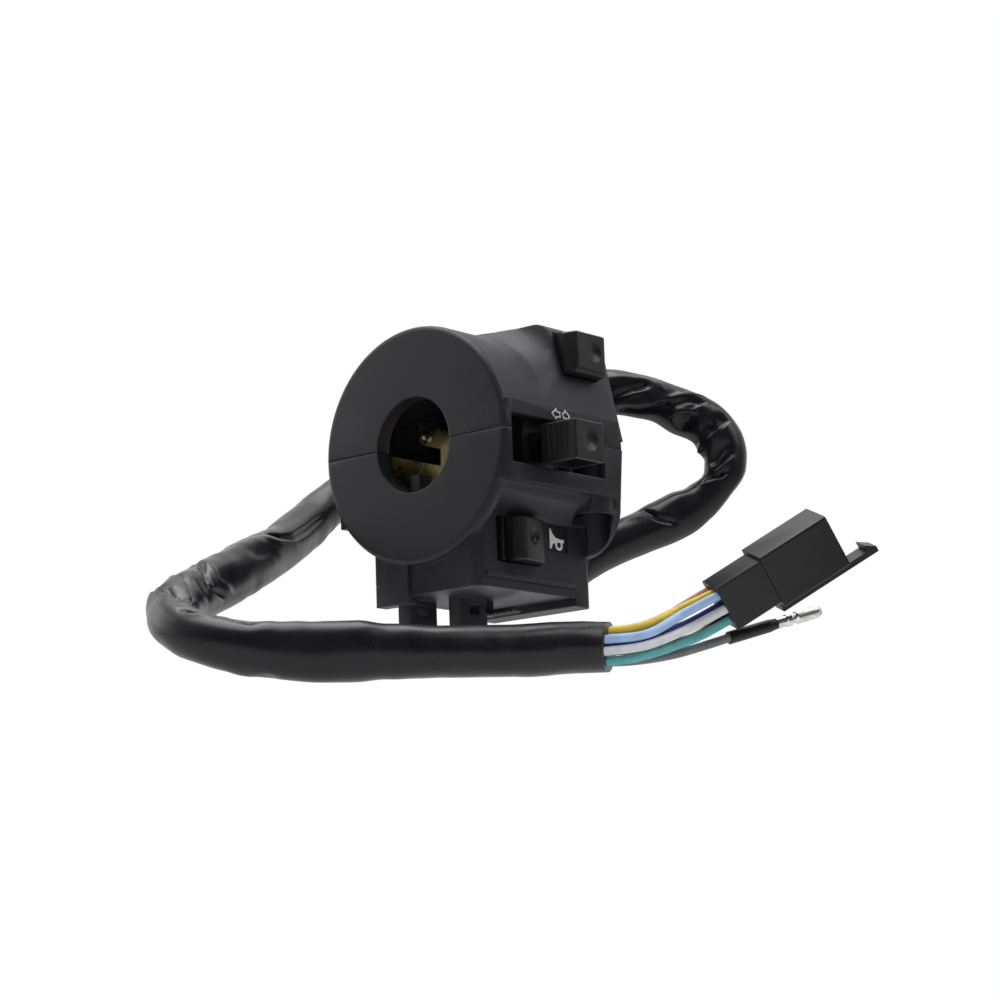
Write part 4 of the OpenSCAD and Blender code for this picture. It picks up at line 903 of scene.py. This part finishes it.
class CLUSTER_OT_stage(bpy.types.Operator):
    """Make the pale floor, the soft lamps, the white surroundings and the photograph's camera"""

    bl_idname = "cluster.stage"
    bl_label = "Stage"

    def execute(self, context):
        scene = context.scene
        scene.view_settings.view_transform = "Standard"
        self.camera(scene)
        self.floor()
        self.surroundings(scene)
        for row in LAMPS:
            self.lamp(*row)
        return {"FINISHED"}

    def camera(self, scene):
        data = bpy.data.cameras.new("Photograph camera")
        data.sensor_width = CAMERA_SENSOR
        data.sensor_fit = "HORIZONTAL"
        data.lens = CAMERA_LENS
        data.clip_start = 0.01
        made = bpy.data.objects.new("Photograph camera", data)
        turn = Matrix((CAMERA_RIGHT, CAMERA_UP, CAMERA_BACK)).transposed()
        made.matrix_world = Matrix.Translation(Vector(CAMERA_PLACE) * MM) @ turn.to_4x4()
        scene.collection.objects.link(made)
        scene.camera = made

    def floor(self):
        bm = bmesh.new()
        bmesh.ops.create_circle(bm, cap_ends=True, segments=96, radius=FLOOR_RADIUS)
        bmesh.ops.translate(bm, verts=bm.verts, vec=(0.0, 0.0, CAD_BOX[0].z - FLOOR_DROP))
        mesh = bpy.data.meshes.new("Studio floor")
        bm.to_mesh(mesh)
        bm.free()
        made = bpy.data.objects.new("Studio floor", mesh)
        bpy.context.scene.collection.objects.link(made)
        finish = bpy.data.materials.new("Floor paper")
        finish.use_nodes = True
        tree = finish.node_tree
        surface = tree.nodes["Principled BSDF"]
        surface.inputs["Roughness"].default_value = 0.7
        surface.inputs["Specular IOR Level"].default_value = 0.2
        place = put(tree, "ShaderNodeTexCoord")
        tooth = put(tree, "ShaderNodeTexNoise", (("Vector", place.outputs["Object"]), ("Scale", 900.0)))
        tone = blended(tree, tooth.outputs["Fac"], (0.86, 0.86, 0.86, 1.0), (0.9, 0.9, 0.9, 1.0))
        tree.links.new(tone, surface.inputs["Base Color"])
        reach = put(tree, "ShaderNodeVectorMath", ((0, place.outputs["Object"]),), operation="LENGTH")
        fade = spread(tree, reach.outputs["Value"], 0.0, 1.0, 0.3, 0.75)
        glow = spread(tree, reach.outputs["Value"], 0.95, 0.0, 0.1, 0.34)
        under = put(tree, "ShaderNodeNewGeometry")
        clear = put(tree, "ShaderNodeMath", (
            (0, fade), (1, under.outputs["Backfacing"])), operation="MAXIMUM")
        through = put(tree, "ShaderNodeBsdfTransparent")
        path = put(tree, "ShaderNodeLightPath")
        white = put(tree, "ShaderNodeEmission", (("Color", WHITE), ("Strength", glow)))
        paper = put(tree, "ShaderNodeMixShader", (
            (0, path.outputs["Is Glossy Ray"]), (1, surface.outputs[0]), (2, white.outputs[0])))
        mixed = put(tree, "ShaderNodeMixShader", (
            (0, clear.outputs[0]), (1, paper.outputs[0]), (2, through.outputs[0])))
        tree.links.new(mixed.outputs[0], tree.nodes["Material Output"].inputs["Surface"])
        mesh.materials.append(finish)

    def surroundings(self, scene):
        """White background; the room on the camera's side is darker in reflections."""
        world = bpy.data.worlds.new("White surroundings")
        world.use_nodes = True
        scene.world = world
        tree = world.node_tree
        tree.nodes.clear()
        path = put(tree, "ShaderNodeLightPath")
        place = put(tree, "ShaderNodeTexCoord")
        toward = put(tree, "ShaderNodeVectorMath", (
            (0, place.outputs["Generated"]), (1, ROOM_AXIS)), operation="DOT_PRODUCT")
        room = spread(tree, toward.outputs["Value"], 1.0, 0.08, -0.55, 0.45)
        seen = put(tree, "ShaderNodeMath", (
            (0, path.outputs["Is Camera Ray"]), (1, path.outputs["Is Transmission Ray"])),
            operation="MAXIMUM")
        plain = put(tree, "ShaderNodeBackground", (("Color", WHITE), ("Strength", 0.22)))
        shiny = put(tree, "ShaderNodeBackground", (("Color", WHITE), ("Strength", room)))
        white = put(tree, "ShaderNodeBackground", (("Color", WHITE), ("Strength", 1.0)))
        lit = put(tree, "ShaderNodeMixShader", (
            (0, path.outputs["Is Glossy Ray"]), (1, plain.outputs[0]), (2, shiny.outputs[0])))
        mixed = put(tree, "ShaderNodeMixShader", (
            (0, seen.outputs[0]), (1, lit.outputs[0]), (2, white.outputs[0])))
        out = put(tree, "ShaderNodeOutputWorld")
        tree.links.new(mixed.outputs[0], out.inputs["Surface"])

    def lamp(self, name, place, size, level):
        data = bpy.data.lights.new(name, "AREA")
        data.shape = "RECTANGLE"
        data.size, data.size_y = size
        data.energy = level * math.pi * size[0] * size[1]
        made = bpy.data.objects.new(name, data)
        turn = (Vector(place) - LAMP_TARGET).to_track_quat("Z", "Y").to_matrix()
        made.matrix_world = Matrix.Translation(Vector(place)) @ turn.to_4x4()
        bpy.context.scene.collection.objects.link(made)


class CLUSTER_OT_sleeve(bpy.types.Operator):
    """Make the soft vinyl sleeve, with its pleats, dents and cut end"""

    bl_idname = "cluster.sleeve"
    bl_label = "Sleeve"

    def execute(self, context):
        radius = sizes().sleeve_diameter / MM / 2
        wall = sizes().sleeve_wall / MM
        points, marks = evenly(catmull(SLEEVE_ROUTE, 12), SLEEVE_STEP)
        bm = bmesh.new()
        rings = []
        for centre, mark, (run, side, top) in zip(points, marks, carried(points)):
            left = marks[-1] - mark
            calm = min(1.0, mark / SLEEVE_CALM[0], left / SLEEVE_CALM[1] + SLEEVE_CALM_LEAST)
            calm *= sizes().fold_share
            radii = [radius + lift * calm for lift in sleeve_lifts(mark, centre, side, top, radius)]
            rings.append(ring_of(bm, centre, side, top, radii, max(0.0, 1 - left / CUT_REACH)))
        inner = [r - wall for r in radii]
        for back, slant in CUT_LINING:
            rings.append(ring_of(bm, points[-1] - run * back, side, top, inner, slant))
        for near, far in zip(rings, rings[1:]):
            bmesh.ops.bridge_loops(bm, edges=near + far)
        bmesh.ops.contextual_create(bm, geom=rings[0])
        bmesh.ops.contextual_create(bm, geom=rings[-1])
        bmesh.ops.recalc_face_normals(bm, faces=bm.faces)
        piece = mesh_piece("harness_sleeve_soft", bm, "housing", "sleeve_vinyl", 60.0)
        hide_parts("harness_sleeve")
        return {"FINISHED"}


class CLUSTER_OT_wires(bpy.types.Operator):
    """Make the eight insulated wires between the sleeve and the connector or the bullet"""

    bl_idname = "cluster.wires"
    bl_label = "Wires"

    def execute(self, context):
        inward = (Vector(SLEEVE_ROUTE[-3]) - Vector(SLEEVE_ROUTE[-1])).normalized()
        for name, route in WIRE_ROUTES.items():
            line = [Vector(route[0]) + inward * WIRE_IN_SLEEVE] + [Vector(p) for p in route]
            line.append(line[-1] + (line[-1] - line[-2]).normalized() * WIRE_IN_FITTING)
            points, marks = evenly(catmull(line, 10), WIRE_STEP)
            data = bpy.data.curves.new("wire_" + name + "_drawn", "CURVE")
            data.dimensions = "3D"
            data.bevel_depth = sizes().wire_diameter / 2
            data.bevel_resolution = 5
            data.use_fill_caps = True
            spline = data.splines.new("POLY")
            spline.points.add(len(points) - 1)
            for made, point in zip(spline.points, points):
                made.co = (point * MM).to_4d()
            piece = bpy.data.objects.new("wire_" + name + "_drawn", data)
            context.scene.collection.objects.link(piece)
            slot = name + "_insulation"
            data.materials.append(finish_of(slot))
            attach(piece, "housing")
            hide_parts("wire_" + name)
        return {"FINISHED"}


class CLUSTER_OT_shells(bpy.types.Operator):
    """Dress the two half shells and the bottom cover"""

    bl_idname = "cluster.shells"
    bl_label = "Shells"

    def execute(self, context):
        moulded_piece("upper_shell", "housing", sizes().shell_edge)
        moulded_piece("lower_shell", "housing", sizes().shell_edge)
        moulded_piece("bottom_cover", "housing", sizes().cover_edge)
        return {"FINISHED"}


class CLUSTER_OT_controls(bpy.types.Operator):
    """Dress the turn knob, the dip button, the horn button and the horn plate"""

    bl_idname = "cluster.controls"
    bl_label = "Controls"

    def knob(self, edge):
        low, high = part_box("turn_knob")
        bm = merged_copy("turn_knob")
        dimpled(bm, high.x, *KNOB_DIMPLE)
        rounded_edges(bm, edge, lambda a, b: min(a.x, b.x) > high.x - HAIR)
        hollowed(bm, low.z)
        piece = mesh_piece("turn_knob_moulded", bm, "turn_slider", NODE_SLOTS["turn_knob"], 16.0)
        flat_faced(piece)
        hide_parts("turn_knob")

    def dip(self, edge):
        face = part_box("dip_button")[1].x
        bm = merged_copy("dip_button")
        dimpled(bm, face, *DIP_DIMPLE)
        rounded_edges(bm, edge, lambda a, b: min(a.x, b.x) > face - DIP_HEAD)
        piece = mesh_piece("dip_button_moulded", bm, "dip_push", NODE_SLOTS["dip_button"], 16.0)
        flat_faced(piece)
        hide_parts("dip_button")

    def horn(self, edge):
        low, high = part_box("horn_button")
        root = low.x + HORN_FLANGE - HORN_ROOT
        head_low = Vector((low.x, low.y + HORN_HEAD_ENDS[0], low.z + HORN_HEAD_MARGINS[0]))
        head_high = Vector((high.x, low.y + HORN_HEAD_ENDS[1], high.z - HORN_HEAD_MARGINS[1]))
        rib_low = Vector((root, low.y + HORN_RIB_ENDS[0], head_low.z))
        rib_high = Vector((low.x + HORN_RIB_TOP, low.y + HORN_RIB_ENDS[1], head_high.z))
        bm = bmesh.new()
        horn_head(bm, head_low, head_high, root)
        rounded_block(bm, low, Vector((low.x + HORN_FLANGE, high.y, high.z)), edge)
        rounded_block(bm, rib_low, rib_high, edge * HORN_RIB_SHARE)
        bmesh.ops.recalc_face_normals(bm, faces=bm.faces)
        piece = mesh_piece("horn_button_moulded", bm, "horn_push", NODE_SLOTS["horn_button"], 34.0)
        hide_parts("horn_button")

    def execute(self, context):
        edge = sizes().control_edge
        self.knob(edge)
        self.dip(edge * DIP_ROUNDER)
        self.horn(edge)
        moulded_piece("horn_plate", "housing", PLATE_EDGE)
        return {"FINISHED"}


class CLUSTER_OT_connector(bpy.types.Operator):
    """Dress the housing of the connector"""

    bl_idname = "cluster.connector"
    bl_label = "Connector"

    def execute(self, context):
        moulded_piece("connector_housing", "housing", sizes().connector_edge)
        return {"FINISHED"}


class CLUSTER_OT_inner(bpy.types.Operator):
    """Give the inner pieces and the metal their finishes, and make smooth-shaded copies of the dip and horn
    springs
    """

    bl_idname = "cluster.inner"
    bl_label = "Inner pieces"

    def board(self):
        """The slider's board reaches far enough that no light shows past its end under the knob."""
        piece = moulded_piece("turn_board", "housing", BOARD_EDGE)
        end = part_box("turn_board")[1].y
        for vert in piece.data.vertices:
            if vert.co.y > end - HAIR:
                vert.co.y += BOARD_REACH

    def execute(self, context):
        self.board()
        for node, slot in NODE_SLOTS.items():
            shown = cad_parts[node]
            if shown.hide_render:
                continue
            shown.data.materials.clear()
            shown.data.materials.append(finish_of(slot))
        for node, joint, held in PRESSED_SPRINGS:
            piece = mesh_piece(node + "_pressed", merged_copy(node), "housing", NODE_SLOTS[node], 40.0)
            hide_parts(node)
            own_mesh(piece)
        return {"FINISHED"}


class CLUSTER_OT_signs(bpy.types.Operator):
    """Print the turn arrows on the housing and the horn sign on its plate"""

    bl_idname = "cluster.signs"
    bl_label = "Signs"

    def execute(self, context):
        for name, outline in ARROW_SIGNS.items():
            self.arrow(name, outline)
        self.horn()
        return {"FINISHED"}

    def arrow(self, name, outline):
        bm = bmesh.new()
        ring = [bm.verts.new((0.0, y * MM, z * MM)) for y, z in outline]
        face = bm.faces.new(ring)
        bm.normal_update()
        bmesh.ops.inset_region(
            bm, faces=[face], thickness=ARROW_STROKE, use_even_offset=True, use_boundary=True)
        bmesh.ops.delete(bm, geom=[face], context="FACES_ONLY")
        self.print_on(name, bm, "upper_shell")

    def horn(self):
        bm = bmesh.new()
        bm.faces.new([bm.verts.new((0.0, y * MM, z * MM)) for y, z in HORN_BELL])
        turn = Matrix.Rotation(math.radians(90.0), 4, "Y")
        where = Matrix.Translation((0.0, HORN_RING[0] * MM, HORN_RING[1] * MM))
        outer = bmesh.ops.create_circle(
            bm, cap_ends=True, segments=28, radius=RING_RADIUS, matrix=where @ turn)["verts"]
        disc = outer[0].link_faces[0]
        bmesh.ops.inset_region(
            bm, faces=[disc], thickness=RING_STROKE, use_even_offset=True, use_boundary=True)
        bmesh.ops.delete(bm, geom=[disc], context="FACES_ONLY")
        self.print_on("horn_sign", bm, "horn_plate")

    def print_on(self, name, bm, node):
        carrier = bmesh.new()
        carrier.from_mesh(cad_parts[node].data)
        middle = sum((v.co for v in bm.verts), Vector()) / len(bm.verts)
        start = Vector((OUTSIDE, middle.y, middle.z))
        place = BVHTree.FromBMesh(carrier).ray_cast(start, Vector((-1, 0, 0)))[0]
        carrier.free()
        if place is None:
            raise RuntimeError(name + " has nothing to be printed on")
        for vert in bm.verts:
            vert.co.x = place.x + sizes().sign_height
        bmesh.ops.solidify(bm, geom=list(bm.faces), thickness=sizes().sign_height * 1.2)
        bmesh.ops.recalc_face_normals(bm, faces=bm.faces)
        piece = mesh_piece(name, bm, "housing", None)
        piece.data.materials.append(sign_ink())


class CLUSTER_PT_panel(bpy.types.Panel):
    """Lists what makes the switch cluster"""

    bl_idname = "CLUSTER_PT_panel"
    bl_label = "Switch cluster"
    bl_space_type = "VIEW_3D"
    bl_region_type = "UI"
    bl_category = "Switch cluster"

    def draw(self, context):
        for made in OPERATORS:
            self.layout.operator(made.bl_idname)
        for group in (context.scene.cluster_sizes, context.scene.cluster_colours):
            column = self.layout.column()
            for key in group.__annotations__:
                column.prop(group, key)


OPERATORS = (
    CLUSTER_OT_stage, CLUSTER_OT_sleeve, CLUSTER_OT_shells, CLUSTER_OT_controls, CLUSTER_OT_connector,
    CLUSTER_OT_wires, CLUSTER_OT_inner, CLUSTER_OT_signs,
)
CLASSES = (ClusterSizes, ClusterColours) + OPERATORS + (CLUSTER_PT_panel,)


def register():
    for made in CLASSES:
        bpy.utils.register_class(made)
    bpy.types.Scene.cluster_sizes = bpy.props.PointerProperty(type=ClusterSizes)
    bpy.types.Scene.cluster_colours = bpy.props.PointerProperty(type=ClusterColours)


def unregister():
    del bpy.types.Scene.cluster_colours
    del bpy.types.Scene.cluster_sizes
    for made in reversed(CLASSES):
        bpy.utils.unregister_class(made)


def main():
    register()
    bpy.ops.cluster.stage()
    bpy.ops.cluster.sleeve()
    bpy.ops.cluster.shells()
    bpy.ops.cluster.controls()
    bpy.ops.cluster.connector()
    bpy.ops.cluster.wires()
    bpy.ops.cluster.inner()
    bpy.ops.cluster.signs()
    bpy.context.view_layer.update()


if __name__ == "__main__":
    main()
